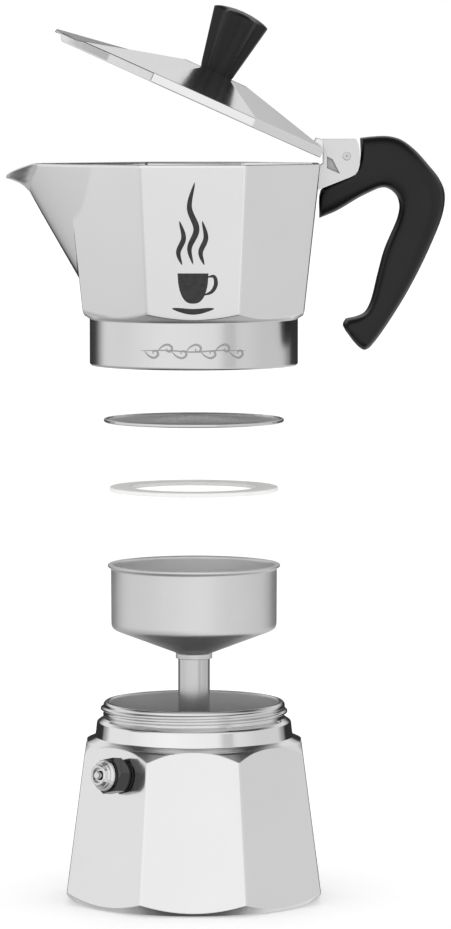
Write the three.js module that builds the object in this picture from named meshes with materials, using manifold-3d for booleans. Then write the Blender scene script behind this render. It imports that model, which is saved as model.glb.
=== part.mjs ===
// An eight-sided stovetop coffee pot, taken apart along its axis: boiler, funnel, gasket, filter plate and
// collector hang one above the other, and the lid stands part open.
// Millimetres, +Z up. The origin is the middle of the boiler's underside; handle on +X, spout on -X.
import * as THREE from 'three';
import { mergeVertices } from 'three/addons/utils/BufferGeometryUtils.js';
import { ConvexGeometry } from 'three/addons/geometries/ConvexGeometry.js';
import Module from 'manifold-3d';

const wasm = await Module();
wasm.setup();

// ---- driving dimensions ----
const GAP = 0.3;                    // clearance between pieces that touch
const SIDES = 8;                    // sides of the boiler, the collector and the lid
const ROUND = 48;                   // facets of a turned piece
const UP = new THREE.Vector3(0, 0, 1);

const BOILER_FOOT = 45.0;           // axis to a flat side, at the base
const BOILER_SHOULDER = 38.15;      // axis to a flat side, where the shoulder starts
const BOILER_HEIGHT = 53.0;         // base to shoulder
const BOILER_WALL = 3.4;
const RIM_Z = 69.4;                 // top of the neck
const NECK_BORE = 29.7;             // radius
const NECK_CREST = 32.9;            // radius over the threads
const NECK_ROOT = 31.9;
const THREAD_PITCH = 2.0;
const THREAD_GAP = 0.35;            // between the crests of neck and ring, which a straight lift has to pass

const CUP_RADIUS = 29.2;
const FLANGE_RADIUS = 30.4;
const FLANGE_THICK = 1.0;
const CUP_DEPTH = 22.7;
const CUP_WALL = 0.9;
const FUNNEL_LENGTH = 60.0;
const STEM_RADIUS = 5.55;

const GASKET_OUTER = 29.65;
const GASKET_INNER = 21.9;
const GASKET_THICK = 1.5;
const PLATE_RADIUS = 31.6;
const PLATE_RIM = 1.3;              // height of the plate's rim
const PLATE_DOME = 1.7;             // rise of its middle
const PLATE_SHEET = 0.8;

const RING_RADIUS = 36.5;           // turned ring at the foot of the collector
const RING_HEIGHT = 17.2;
const COLLECTOR_HEIGHT = 70.5;
const COLLECTOR_FOOT = 36.36;       // axis to a flat side, at the foot
const COLLECTOR_TOP = 44.0;         // axis to a flat side, at the top
const COLLECTOR_WALL = 2.4;
const COLUMN_TOP = 57.8;            // above the foot of the ring
const SPOUT_REACH = COLLECTOR_TOP + 21.9;   // axis to the tip

const LID_HALF = COLLECTOR_TOP + 1.5; // axis to a flat side of the lid
const LID_REAR = COLLECTOR_TOP + 0.8; // axis to its flat rear edge
const LID_SKIRT = 2.0;              // how far the rim hangs down outside the collector
const LID_BAND = 1.2;               // and how far it stands above the collector
const LID_HEIGHT = 10.0;
const LID_SLOPE = 14.5;             // degrees
const LID_WALL = 1.3;
const LID_OPEN = 24.2;              // degrees, as the pot stands
const BEAK_REACH = COLLECTOR_TOP + 13.0;
const HINGE_X = COLLECTOR_TOP + 9.3;
const HINGE_Z = 2.6;                // above the collector's top
const HINGE_RADIUS = 1.5;
const LUG_HALF = 3.6;               // half the width of the lid's lug
const LUG_RADIUS = 3.0;
const CHEEK_OUTER = 7.6;

const KNOB_FOOT = 6.3;              // radius
const KNOB_TOP = 10.6;              // radius
const KNOB_HEIGHT = 21.2;
const HANDLE_WIDTH = 17.0;

// heights of the pieces in the taken-apart pot
const FUNNEL_Z = 118.0;             // top of the flange
const GASKET_Z = 143.8;             // underside of the gasket
const PLATE_Z = 168.0;              // underside of the plate
const COLLECTOR_Z = 188.1;          // foot of the ring

// ---- solids ----
const toSolid = (geometry) => {
    geometry.deleteAttribute('normal');
    geometry.deleteAttribute('uv');
    const merged = mergeVertices(geometry, 1e-4);
    return new wasm.Manifold(new wasm.Mesh({
        numProp: 3,
        vertProperties: new Float32Array(merged.attributes.position.array),
        triVerts: new Uint32Array(merged.index.array),
    }));
};

const toGeometry = (solid) => {
    const mesh = solid.getMesh();
    const geometry = new THREE.BufferGeometry();
    geometry.setAttribute('position', new THREE.BufferAttribute(mesh.vertProperties, 3));
    geometry.setIndex(new THREE.BufferAttribute(mesh.triVerts, 1));
    const flat = geometry.toNonIndexed();
    flat.computeVertexNormals();
    return flat;
};

// a profile of [radius, height] pairs, counter-clockwise with the radius to the right, turned about Z
const turned = (profile, facets = ROUND) => {
    const points = profile.map(([radius, height]) => new THREE.Vector2(radius, height));
    return toSolid(new THREE.LatheGeometry(points, facets).rotateX(Math.PI / 2));
};

// the closed profile of a ring or a tube
const turnedLoop = (profile, facets = ROUND) => turned([...profile, profile[0]], facets);

const rod = (radius, from, to, facets = 24) =>
    turned([[0, from], [radius, from], [radius, to], [0, to]], facets);

// an eight-sided frustum with a flat side facing -Y, given by its distances from axis to side
const eightSided = (foot, top, from, to) => {
    const turn = Math.PI / SIDES;
    const corner = 1 / Math.cos(turn);
    const shape = new THREE.CylinderGeometry(top * corner, foot * corner, to - from, SIDES, 1, false, turn);
    return toSolid(shape.rotateX(Math.PI / 2).translate(0, 0, (from + to) / 2));
};

const hull = (points) => toSolid(new ConvexGeometry(points.map((point) => new THREE.Vector3(...point))));

// both mirror images, in Y, of each point
const pairs = (points) => points.flatMap(([x, y, z]) => [[x, y, z], [x, -y, z]]);

// an outline in the XZ plane, given thickness along Y and centred on y
const slab = (shape, width, y = 0, bevel = 0, steps = 2) => toSolid(new THREE.ExtrudeGeometry(shape, {
    depth: width - 2 * bevel, bevelEnabled: bevel > 0, bevelThickness: bevel, bevelSize: bevel,
    bevelOffset: -bevel, bevelSegments: steps, curveSegments: 5,
}).rotateX(Math.PI / 2).translate(0, y + width / 2 - bevel, 0));

// a rod along Y
const crossRod = (radius, x, z, from, to, facets = 20) => toSolid(
    new THREE.CylinderGeometry(radius, radius, to - from, facets).translate(x, (from + to) / 2, z));

class Helix extends THREE.Curve {
    constructor(radius, from, to, pitch) {
        super();
        Object.assign(this, { radius, from, to, pitch });
    }

    getPoint(share, target = new THREE.Vector3()) {
        const height = this.from + share * (this.to - this.from);
        const angle = 2 * Math.PI * height / this.pitch;
        return target.set(this.radius * Math.cos(angle), this.radius * Math.sin(angle), height);
    }
}

// round wire or a four-sided thread ridge wound about Z
const wound = (radius, from, to, pitch, wire, perTurn, corners) => {
    const section = new THREE.Shape();
    for (let corner = 0; corner < corners; corner += 1) {
        const angle = 2 * Math.PI * corner / corners;
        const point = [wire * Math.cos(angle), wire * Math.sin(angle)];
        if (corner) section.lineTo(...point); else section.moveTo(...point);
    }
    section.closePath();
    return toSolid(new THREE.ExtrudeGeometry(section, {
        steps: Math.round(perTurn * (to - from) / pitch), bevelEnabled: false,
        extrudePath: new Helix(radius, from, to, pitch),
    }));
};

// rings of small upright holes: one in the middle, then six more in each ring
const perforation = (rings, spacing, radius, from, to) => {
    const holes = [];
    for (let ring = 0; ring <= rings; ring += 1) {
        const count = Math.max(1, 6 * ring);
        for (let hole = 0; hole < count; hole += 1) {
            const angle = 2 * Math.PI * hole / count;
            const at = [ring * spacing * Math.cos(angle), ring * spacing * Math.sin(angle), 0];
            holes.push(rod(radius, from, to, 6).translate(at));
        }
    }
    return wasm.Manifold.union(holes);
};

// ---- finishes ----
const finish = (color, roughness, metalness) =>
    () => new THREE.MeshStandardMaterial({ color, roughness, metalness });
const castAluminium = finish(0xd6d6d6, 0.3, 1.0);
const spunAluminium = finish(0xcfcfcf, 0.4, 1.0);
const plateAluminium = finish(0xd9d9d9, 0.35, 1.0);
const steel = finish(0xb8b8ba, 0.25, 1.0);
const brass = finish(0xb59a5a, 0.35, 1.0);
const bakelite = finish(0x1c1a1a, 0.35, 0.0);
const silicone = finish(0xe6e6e2, 0.7, 0.0);
const fibre = finish(0x24211f, 0.8, 0.0);

const pot = new THREE.Group();

const addNode = (name, solid, material, group) => {
    const mesh = new THREE.Mesh(toGeometry(solid), material());
    mesh.name = name;
    group.add(mesh);
};

const level = (height) => {
    const group = new THREE.Group();
    group.position.z = height;
    pot.add(group);
    return group;
};

// ---- boiler ----
const boilerSide = (height) => BOILER_FOOT - (BOILER_FOOT - BOILER_SHOULDER) * height / BOILER_HEIGHT;
const COLLAR_RADIUS = 34.8;
const COLLAR_Z = 57.2;
const WIDEST = 48.8;                // just beyond the corners
const CHAMFER_FOOT = 43.4;          // radius of the turned chamfer where it meets the base
const CHAMFER_TOP = 4.6;            // and its height at the widest radius

const boiler = () => {
    const blank = eightSided(BOILER_FOOT, boilerSide(COLLAR_Z + 1), 0, COLLAR_Z + 1);
    const trim = turned([
        [0, 0], [CHAMFER_FOOT, 0], [WIDEST, CHAMFER_TOP], [WIDEST, 44.3], [41.4, 52.4],
        [38.2, 55.8], [COLLAR_RADIUS, COLLAR_Z], [0, COLLAR_Z],
    ], 64);
    const neck = turned([
        [0, COLLAR_Z - 2], [COLLAR_RADIUS, COLLAR_Z - 2], [COLLAR_RADIUS, COLLAR_Z + 0.5], [34.6, 58.8],
        [34.2, 62.4], [33.0, 63.2], [NECK_ROOT, 63.8], [NECK_ROOT, RIM_Z - 0.8], [31.2, RIM_Z], [0, RIM_Z],
    ]);
    const ridge = NECK_CREST - NECK_ROOT;
    const thread = wound(NECK_ROOT, 65.1, 67.9, THREAD_PITCH, ridge, 32, 4);
    const hollow = turned([
        [0, 3.2], [38.5, 3.2], [41.0, 5.4], [boilerSide(53.5) - BOILER_WALL, 53.5],
        [NECK_BORE, 57.0], [NECK_BORE, RIM_Z + 1], [0, RIM_Z + 1],
    ]);
    const valveHole = valveFrame(rod(4.3, -12, 4));
    return blank.intersect(trim).add(neck).add(thread).subtract(hollow).subtract(valveHole);
};

// ---- safety valve, on the front left side of the boiler; its own axis points out of the side ----
const VALVE_Z = 46.9;
const VALVE_SHIFT = 3.1;            // from the middle of the side toward the front
const VALVE_ANGLE = -3 * Math.PI / 4;
const VALVE_TILT = Math.atan((BOILER_FOOT - BOILER_SHOULDER) / BOILER_HEIGHT);
const HEX_HALF = 5.8;               // axis to a flat of the body
const NUT_HALF = 4.9;               // and of the nut inside the boiler
const CHAMBER_RADIUS = 3.1;
const CHAMBER_FLOOR = -6.0;
const CAP_FOOT = 7.5;
const CAP_END = 11.0;

const valveGroup = () => {
    const side = boilerSide(VALVE_Z);
    const outward = new THREE.Vector3(
        Math.cos(VALVE_ANGLE) * Math.cos(VALVE_TILT), Math.sin(VALVE_ANGLE) * Math.cos(VALVE_TILT),
        Math.sin(VALVE_TILT));
    const group = new THREE.Group();
    const along = new THREE.Vector3(-Math.sin(VALVE_ANGLE), Math.cos(VALVE_ANGLE), 0);
    group.position.set(side * Math.cos(VALVE_ANGLE), side * Math.sin(VALVE_ANGLE), VALVE_Z);
    group.position.addScaledVector(along, VALVE_SHIFT);
    group.quaternion.setFromUnitVectors(UP, outward);
    group.updateMatrixWorld();
    return group;
};

const valveFrame = (solid) => solid.transform(valveGroup().matrixWorld.toArray());

const hexagon = (half, from, to) => {
    const corner = half / Math.cos(Math.PI / 6);
    const prism = toSolid(new THREE.CylinderGeometry(corner, corner, to - from, 6)
        .rotateX(Math.PI / 2).translate(0, 0, (from + to) / 2));
    return prism.intersect(turned([
        [0, from], [half, from], [corner, from + 0.6], [corner, to - 0.6], [half, to], [0, to],
    ]));
};

const safetyValve = () => {
    const group = valveGroup();
    const shank = turned([[0, -8.2], [4.0, -8.2], [4.0, 1.6], [0, 1.6]], 24);
    const neck = turned([[0, 6.2], [5.5, 6.2], [5.5, CAP_FOOT - GAP], [0, CAP_FOOT - GAP]], 24);
    const bore = rod(1.5, -9, CHAMBER_FLOOR + 1).add(rod(CHAMBER_RADIUS, CHAMBER_FLOOR, 9));
    addNode('valve_body', hexagon(HEX_HALF, 1.4, 6.6).add(shank).add(neck).subtract(bore), steel, group);
    addNode('valve_washer', turnedLoop([[4.4, GAP], [5.6, GAP], [5.6, 1.1], [4.4, 1.1]], 24), fibre, group);
    addNode('valve_nut', hexagon(NUT_HALF, -7.4, -5.2).subtract(rod(4.3, -9, 0)), brass, group);
    addNode('valve_cap', turnedLoop([
        [1.6, CAP_FOOT], [5.3, CAP_FOOT], [5.3, 8.3], [4.5, 8.7], [4.5, 9.3], [4.0, 9.6],
        [3.6, CAP_END - 0.2], [3.3, CAP_END], [2.7, CAP_END], [2.4, 9.8], [1.6, 9.8],
    ], 24), steel, group);
    addNode('valve_spring', wound(2.3, CHAMBER_FLOOR + 2.6, CAP_FOOT - 0.8, 2.1, 0.35, 14, 5), steel, group);
    addNode('valve_seal', rod(2.6, CHAMBER_FLOOR + GAP, CHAMBER_FLOOR + 0.9), silicone, group);
    const head = rod(2.7, CHAMBER_FLOOR + 1.2, CHAMBER_FLOOR + 1.9);
    addNode('valve_pin', head.add(rod(1.2, CHAMBER_FLOOR + 1.5, CAP_END + 0.6)), brass, group);
    pot.add(group);
};

// ---- funnel: heights are below the top of its flange ----
const COLLAR_OUTER = STEM_RADIUS + 0.85;
const CONE_FALL = 8.3;

const funnel = () => {
    const group = level(FUNNEL_Z);
    const neck = -CUP_DEPTH - CONE_FALL;
    const bore = STEM_RADIUS + GAP;
    addNode('funnel_cup', turnedLoop([
        [bore, neck - 2.4], [COLLAR_OUTER, neck - 2.4], [COLLAR_OUTER, neck],
        [CUP_RADIUS - 0.8, -CUP_DEPTH - 0.2], [CUP_RADIUS - 0.1, -CUP_DEPTH + 0.8],
        [CUP_RADIUS, -FLANGE_THICK - 0.5], [CUP_RADIUS, -FLANGE_THICK],
        [FLANGE_RADIUS, -FLANGE_THICK], [FLANGE_RADIUS, 0], [CUP_RADIUS - CUP_WALL + 0.3, 0],
        [CUP_RADIUS - CUP_WALL, -0.6], [CUP_RADIUS - CUP_WALL - 0.1, -CUP_DEPTH + 1], [bore, neck + 1.2],
    ]), spunAluminium, group);
    addNode('funnel_stem', turnedLoop([
        [4.75, -FUNNEL_LENGTH], [STEM_RADIUS, -FUNNEL_LENGTH], [STEM_RADIUS, neck + 0.6], [4.75, neck + 0.6],
    ], 32), spunAluminium, group);
    const disc = rod(CUP_RADIUS - CUP_WALL - 0.1 - GAP, -CUP_DEPTH + 1.2, -CUP_DEPTH + 1.9, ROUND);
    addNode('funnel_strainer', disc.subtract(perforation(3, 6.6, 0.9, -CUP_DEPTH, -CUP_DEPTH + 3)),
        plateAluminium, group);
};

// ---- gasket and filter plate ----
const gasket = () => {
    const edge = 0.35;
    addNode('gasket', turnedLoop([
        [GASKET_INNER + edge, 0], [GASKET_OUTER - edge, 0], [GASKET_OUTER, edge],
        [GASKET_OUTER, GASKET_THICK - edge], [GASKET_OUTER - edge, GASKET_THICK],
        [GASKET_INNER + edge, GASKET_THICK], [GASKET_INNER, GASKET_THICK - edge], [GASKET_INNER, edge],
    ]), silicone, level(GASKET_Z));
};

const DOME_RADIUS = 27.5;

const filterPlate = () => {
    const rise = (radius) => PLATE_DOME * (0.5 + 0.5 * Math.cos(Math.PI * radius / DOME_RADIUS));
    const radii = [0, 5, 10, 15, 20, 24, DOME_RADIUS];
    const under = radii.map((radius) => [radius, rise(radius)]);
    const over = radii.map((radius) => [radius, rise(radius) + PLATE_SHEET]).reverse();
    const dish = turned([
        ...under, [PLATE_RADIUS - 0.6, 0], [PLATE_RADIUS, 0.4], [PLATE_RADIUS, PLATE_RIM - 0.2],
        [PLATE_RADIUS - 0.3, PLATE_RIM], [PLATE_RADIUS - 0.9, PLATE_RIM], [PLATE_RADIUS - 1.1, PLATE_SHEET],
        ...over,
    ]);
    addNode('filter_plate', dish.subtract(perforation(3, 5.6, 0.8, 0, 3)), plateAluminium, level(PLATE_Z));
};

// ---- collector: heights are above the foot of its ring ----
const COLLECTOR_TAPER = (COLLECTOR_TOP - COLLECTOR_FOOT) / COLLECTOR_HEIGHT;
const collectorSide = (height) => COLLECTOR_FOOT + COLLECTOR_TAPER * height;
const RECESS_ROOF = 16.9;
const FLOOR_Z = 19.6;
const COLUMN_ROOT = 22.9;
const SPOUT_ROOT_X = 9.6 - COLLECTOR_TOP;   // where the spout's sides leave the pot, at the top
const SPOUT_ROOT_Y = COLLECTOR_TOP * Math.SQRT2 + SPOUT_ROOT_X;
const SPOUT_END = [-COLLECTOR_TOP - 12.6, 8.0];   // where the spout's top edge ends, near the tip
const SPOUT_CORNER_Z = 33.0;        // and the height where they reach its corners
const KEEL_FOOT = [3.0 - COLLECTOR_TOP, 31.3];   // x and height of the spout's keel
const KEEL_HEAD = [-COLLECTOR_TOP - 15.2, COLLECTOR_HEIGHT - 7.7];

const spoutBlank = () => {
    const side = collectorSide(SPOUT_CORNER_Z);
    const sides = hull(pairs([
        [SPOUT_ROOT_X, SPOUT_ROOT_Y, COLLECTOR_HEIGHT], [-32, 22, COLLECTOR_HEIGHT],
        [-side, side * Math.tan(Math.PI / SIDES), SPOUT_CORNER_Z], [...SPOUT_END, COLLECTOR_HEIGHT],
        [KEEL_HEAD[0], 1.3, KEEL_HEAD[1]], [KEEL_FOOT[0], 0.9, KEEL_FOOT[1]],
        [KEEL_FOOT[0] + 5, 0.9, KEEL_FOOT[1]],
    ]));
    const lip = hull(pairs([
        [...SPOUT_END, COLLECTOR_HEIGHT], [SPOUT_END[0] + 1.6, 4.0, COLLECTOR_HEIGHT - 4],
        [3.7 - SPOUT_REACH, 4.4, COLLECTOR_HEIGHT - 1.6],
        [-SPOUT_REACH, 1.4, COLLECTOR_HEIGHT - 4.6], [0.4 - SPOUT_REACH, 1.2, COLLECTOR_HEIGHT - 5.3],
        [KEEL_HEAD[0], 1.3, KEEL_HEAD[1]],
    ]));
    return sides.add(lip);
};

const spoutHollow = () => {
    const channel = hull(pairs([
        [SPOUT_ROOT_X + 1.0, SPOUT_ROOT_Y - 2.6, COLLECTOR_HEIGHT + 2],
        [SPOUT_ROOT_X + 6.4, SPOUT_ROOT_Y - 7.8, COLLECTOR_HEIGHT + 2],
        [SPOUT_END[0] + 0.2, SPOUT_END[1] - 2.4, COLLECTOR_HEIGHT + 2],
        [SPOUT_END[0], 0.9, COLLECTOR_HEIGHT - 5.3],
        [5.6 - COLLECTOR_TOP, 15.4, SPOUT_CORNER_Z + 8],
        [3.6 - COLLECTOR_TOP, 0.7, KEEL_FOOT[1] + 5.7], [12 - COLLECTOR_TOP, 0.7, KEEL_FOOT[1] + 5.7],
    ]));
    const pour = hull(pairs([
        [SPOUT_END[0] + 0.2, SPOUT_END[1] - 2.4, COLLECTOR_HEIGHT + 2],
        [SPOUT_END[0] + 6.6, 3.0, COLLECTOR_HEIGHT - 4],
        [-SPOUT_REACH - 1.6, 3.0, COLLECTOR_HEIGHT + 2], [-SPOUT_REACH - 1.6, 0.5, COLLECTOR_HEIGHT - 2.6],
        [SPOUT_END[0], 0.9, COLLECTOR_HEIGHT - 5.3],
    ]));
    return channel.add(pour);
};

// the two cheeks that hold the hinge pin: flat-topped plates, rounded outside, with a wedge-shaped pocket;
// x in the outlines of cheek, pocket and handle is measured from the collector's side at its top
const cheekOutline = () => {
    const top = COLLECTOR_HEIGHT;
    const outline = new THREE.Shape();
    outline.moveTo(-1.4, top - 9.4);
    outline.lineTo(10.6, top - 4.7);
    outline.quadraticCurveTo(13.9, top - 3.2, 13.9, top + 1.6);
    outline.quadraticCurveTo(13.9, top + 7.0, 12.6, top + 8.5);
    outline.lineTo(1.2, top + 8.5);
    outline.lineTo(1.2, top);
    outline.lineTo(-1.4, top - 1.5);
    outline.closePath();
    return outline;
};

const POCKET_DEPTH = 1.6;

const wedgeOutline = () => {
    const top = COLLECTOR_HEIGHT;
    const outline = new THREE.Shape();
    outline.moveTo(2.4, top - 1.6);
    outline.lineTo(6.9, top - 3.5);
    outline.lineTo(4.4, top + 1.5);
    outline.lineTo(2.4, top + 2.5);
    outline.closePath();
    return outline;
};

const TONGUE = {
    from: COLLECTOR_TOP - 3.5, to: COLLECTOR_TOP + 7.2,
    low: COLLECTOR_HEIGHT - 15.0, high: COLLECTOR_HEIGHT - 10.4, half: 2.4,
};
const HANDLE_PIN = { x: COLLECTOR_TOP + 3.6, z: COLLECTOR_HEIGHT - 12.7, radius: 1.4 };

const box = (x0, x1, y0, y1, z0, z1) => toSolid(new THREE.BoxGeometry(x1 - x0, y1 - y0, z1 - z0)
    .translate((x0 + x1) / 2, (y0 + y1) / 2, (z0 + z1) / 2));

const bracket = () => {
    const width = CHEEK_OUTER - LUG_HALF - GAP;
    const middle = (CHEEK_OUTER + LUG_HALF + GAP) / 2;
    const cheek = (y) => slab(cheekOutline(), width, y)
        .subtract(slab(wedgeOutline(), 2 * POCKET_DEPTH, Math.sign(y) * CHEEK_OUTER))
        .translate([COLLECTOR_TOP, 0, 0]);
    const tongue = box(TONGUE.from, TONGUE.to, -TONGUE.half, TONGUE.half, TONGUE.low, TONGUE.high);
    return cheek(middle).add(cheek(-middle)).add(tongue)
        .subtract(crossRod(HINGE_RADIUS + GAP, HINGE_X, COLLECTOR_HEIGHT + HINGE_Z, -9, 9))
        .subtract(crossRod(HANDLE_PIN.radius + GAP, HANDLE_PIN.x, HANDLE_PIN.z, -9, 9));
};

const collectorBody = () => {
    const trim = turned([
        [0, 0], [35.7, 0], [RING_RADIUS, 0.5], [RING_RADIUS, RING_HEIGHT - 0.9], [37.9, RING_HEIGHT],
        [41.6, RING_HEIGHT + 2.1], [COLLECTOR_TOP + 5, RING_HEIGHT + 6.5],
        [COLLECTOR_TOP + 5, COLLECTOR_HEIGHT], [0, COLLECTOR_HEIGHT],
    ], 64);
    const outside = eightSided(COLLECTOR_FOOT, COLLECTOR_TOP, 0, COLLECTOR_HEIGHT).intersect(trim);
    const inside = eightSided(
        collectorSide(FLOOR_Z) - COLLECTOR_WALL, collectorSide(COLLECTOR_HEIGHT + 2) - COLLECTOR_WALL,
        FLOOR_Z, COLLECTOR_HEIGHT + 2,
    ).intersect(turned([
        [0, 25.8], [8.5, 25.2], [30, FLOOR_Z + 0.4], [36, FLOOR_Z + 0.9], [60, FLOOR_Z + 12],
        [60, COLLECTOR_HEIGHT + 3], [0, COLLECTOR_HEIGHT + 3],
    ]));
    return outside.add(spoutBlank()).subtract(inside).subtract(spoutHollow()).add(bracket().subtract(inside));
};

const ringRecess = () => {
    const crest = NECK_CREST + THREAD_GAP;
    const root = crest + 0.95;
    const recess = turned([
        [0, -1], [root + 0.9, -1], [root + 0.9, 3.8], [root, 5.0], [root, 12.6], [crest - 0.6, 13.8],
        [crest - 0.6, RECESS_ROOF - 0.6], [crest - 1.2, RECESS_ROOF], [8.2, COLUMN_ROOT], [6.3, COLUMN_ROOT],
        [6.3, 30], [0, 30],
    ]);
    return recess.subtract(wound(root + 0.1, 6.4, 11.6, THREAD_PITCH, root + 0.1 - crest, 32, 4));
};

const coffeeColumn = () => {
    const tube = turned([
        [0, COLUMN_ROOT - 1.5], [7.4, COLUMN_ROOT - 1.5], [7.4, COLUMN_ROOT - GAP], [6.0, COLUMN_ROOT - GAP],
        [6.0, 27.2], [5.4, 27.6], [4.5, COLUMN_TOP - 1.6], [3.6, COLUMN_TOP - 0.4], [0, COLUMN_TOP],
    ], 32);
    const bore = turned([
        [0, COLUMN_ROOT - 3], [4.6, COLUMN_ROOT - 3], [2.9, COLUMN_TOP - 3.2], [0, COLUMN_TOP - 2.2],
    ], 24);
    const windows = box(-9, 9, -1.5, 1.5, COLUMN_TOP - 9.0, COLUMN_TOP - 4.0);
    return tube.subtract(bore).subtract(windows);
};

const handleOutline = () => {
    const grip = new THREE.SplineCurve([
        [12.9, 8.9], [18.6, 9.4], [23.8, 9.5], [28.2, 8.4], [33.0, 5.0], [38.2, -0.7], [41.8, -5.3],
        [43.7, -10.0], [43.3, -16.6], [38.6, -29.1], [30.3, -45.6], [21.1, -60.0], [17.4, -64.6],
        [15.6, -65.2], [13.4, -63.8], [10.2, -60.0], [8.0, -56.6], [8.8, -54.3], [12.8, -53.5],
        [15.6, -52.2], [17.6, -49.0], [20.5, -37.8], [22.6, -30.1], [27.3, -18.7], [27.9, -14.6],
        [26.6, -10.8], [22.7, -8.4], [16.0, -10.8], [5.7, -16.7],
    ].map((point) => new THREE.Vector2(...point)));
    const mount = [
        [-3.0, -20.2], [-2.0, -9.9], [10.4, -5.1], [13.0, -3.1], [14.2, -0.5], [14.3, 1.6], [13.9, 6.0],
    ];
    const outline = [...grip.getPoints(42), ...mount.map((point) => new THREE.Vector2(...point))];
    return new THREE.Shape(outline.map((point) => new THREE.Vector2(
        COLLECTOR_TOP + point.x, COLLECTOR_HEIGHT + point.y)));
};

const handleBody = () => {
    const slot = box(TONGUE.from - 2, TONGUE.to + GAP, -TONGUE.half - GAP, TONGUE.half + GAP,
        TONGUE.low - GAP, TONGUE.high + GAP);
    const wall = eightSided(collectorSide(0) + GAP, COLLECTOR_TOP + GAP, 0, COLLECTOR_HEIGHT);
    return slab(handleOutline(), HANDLE_WIDTH, 0, 2.0, 3).subtract(slot).subtract(wall)
        .subtract(crossRod(HANDLE_PIN.radius + GAP, HANDLE_PIN.x, HANDLE_PIN.z, -6.5, 9))
        .subtract(crossRod(2.9, HANDLE_PIN.x, HANDLE_PIN.z, 6.7, 9));
};

const collector = () => {
    const group = level(COLLECTOR_Z);
    addNode('coffee_column', coffeeColumn(), spunAluminium, group);
    addNode('collector', collectorBody().subtract(ringRecess()), castAluminium, group);
    const hingePin = crossRod(HINGE_RADIUS, HINGE_X, COLLECTOR_HEIGHT + HINGE_Z, -7.8, 7.8, 24);
    addNode('hinge_pin', hingePin, steel, group);
    addNode('handle', handleBody(), bakelite, group);
    const screw = crossRod(HANDLE_PIN.radius, HANDLE_PIN.x, HANDLE_PIN.z, -6.2, 7.5)
        .add(crossRod(2.6, HANDLE_PIN.x, HANDLE_PIN.z, 7.0, 8.4));
    addNode('handle_pin', screw, steel, group);
};

// ---- lid: its own heights are above its seat on the collector, and it turns about the hinge pin ----
const SKIRT_GAP = 0.6;              // lets the skirt swing clear of the collector
const LEDGE_HALF = COLLECTOR_TOP - 0.8;// axis to a flat side of the hollow above the seat
const BEAK_DIP = 0.6;               // fall of the beak's top from its ridge to its edges, at the tip
const RIDGE_FOOT = 28.4;            // axis to the place on the dome where the beak's ridge starts

// the part over the spout, set out by a distance from the spout's own top edge
const beak = (outset, reach, from, shoulder, ridge, dip) => {
    const [endX, endY] = SPOUT_END;
    const across = Math.hypot(SPOUT_ROOT_X - endX, SPOUT_ROOT_Y - endY);
    const normal = [(endY - SPOUT_ROOT_Y) / across, (SPOUT_ROOT_X - endX) / across];
    const edgeY = (x) => endY + ((x - endX) * -normal[0] + outset) / normal[1];
    const root = [SPOUT_ROOT_X + outset * normal[0], SPOUT_ROOT_Y + outset * normal[1]];
    const corner = [2.6 - reach, edgeY(2.6 - reach) - 0.6];
    return hull([
        ...pairs([
            [...root, from], [-30, 15, from], [...corner, from], [-reach, corner[1] - 4.6, from],
            [...root, shoulder], [...corner, shoulder - dip], [-reach, corner[1] - 4.6, shoulder - dip],
        ]),
        [-reach, 0, shoulder], [-27, 0, ridge],
    ]);
};

const lidShell = (half, from, shoulder, top, reach) => {
    const slope = Math.tan(LID_SLOPE * Math.PI / 180);
    const run = (top - shoulder) / slope;
    const ridge = shoulder + (half - RIDGE_FOOT) * slope;
    const dome = eightSided(half, half, from, shoulder)
        .add(eightSided(half, half - run, shoulder, top)).hull();
    return dome.add(beak(half - COLLECTOR_TOP, reach, from, shoulder, ridge, BEAK_DIP));
};

const lidLug = () => {
    const z = HINGE_Z - GAP;
    const outline = new THREE.Shape();
    outline.moveTo(HINGE_X - 12.3, 0);
    outline.lineTo(HINGE_X - 1.7, -0.4);
    outline.absarc(HINGE_X, z, LUG_RADIUS, -0.55 * Math.PI, 0.4 * Math.PI, false);
    outline.lineTo(HINGE_X - 3.9, 5.0);
    outline.lineTo(HINGE_X - 12.3, 3.8);
    outline.closePath();
    return slab(outline, 2 * LUG_HALF);
};

const WASHER_THICK = 0.4;
const WASHER_RADIUS = 4.6;
const KNOB_Z = LID_HEIGHT + GAP;    // the washer lies in a counterbore in the knob's foot

const lidBody = () => {
    const drop = LID_WALL + 0.05;
    const ledge = LID_BAND + (LID_HALF - LEDGE_HALF) * Math.tan(LID_SLOPE * Math.PI / 180) - drop;
    const skirtHalf = COLLECTOR_TOP + SKIRT_GAP;
    const seat = eightSided(skirtHalf, skirtHalf, -LID_SKIRT - 1, 0)
        .add(beak(SKIRT_GAP, BEAK_REACH + 4, -LID_SKIRT - 1, 0, 0, 0));
    const hollow = lidShell(LEDGE_HALF, -1, ledge, LID_HEIGHT - drop, BEAK_REACH - LID_WALL);
    const rear = box(LID_REAR, LID_REAR + 15, -40, 40, -5, 5)
        .add(box(COLLECTOR_TOP - 1, LID_REAR + 15, -40, 40, -5, 0));
    const notch = (y) => box(LID_REAR - 2.6, LID_REAR + 2.2, y - 2.5, y + 2.5, -1, 8);
    const middle = (CHEEK_OUTER + LUG_HALF + GAP) / 2;
    return lidShell(LID_HALF, -LID_SKIRT, LID_BAND, LID_HEIGHT, BEAK_REACH)
        .subtract(seat).subtract(hollow).subtract(rear)
        .subtract(notch(middle)).subtract(notch(-middle)).add(lidLug())
        .subtract(crossRod(HINGE_RADIUS + GAP, HINGE_X, HINGE_Z - GAP, -6, 6)).subtract(rod(2.1, 0, 14));
};

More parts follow.
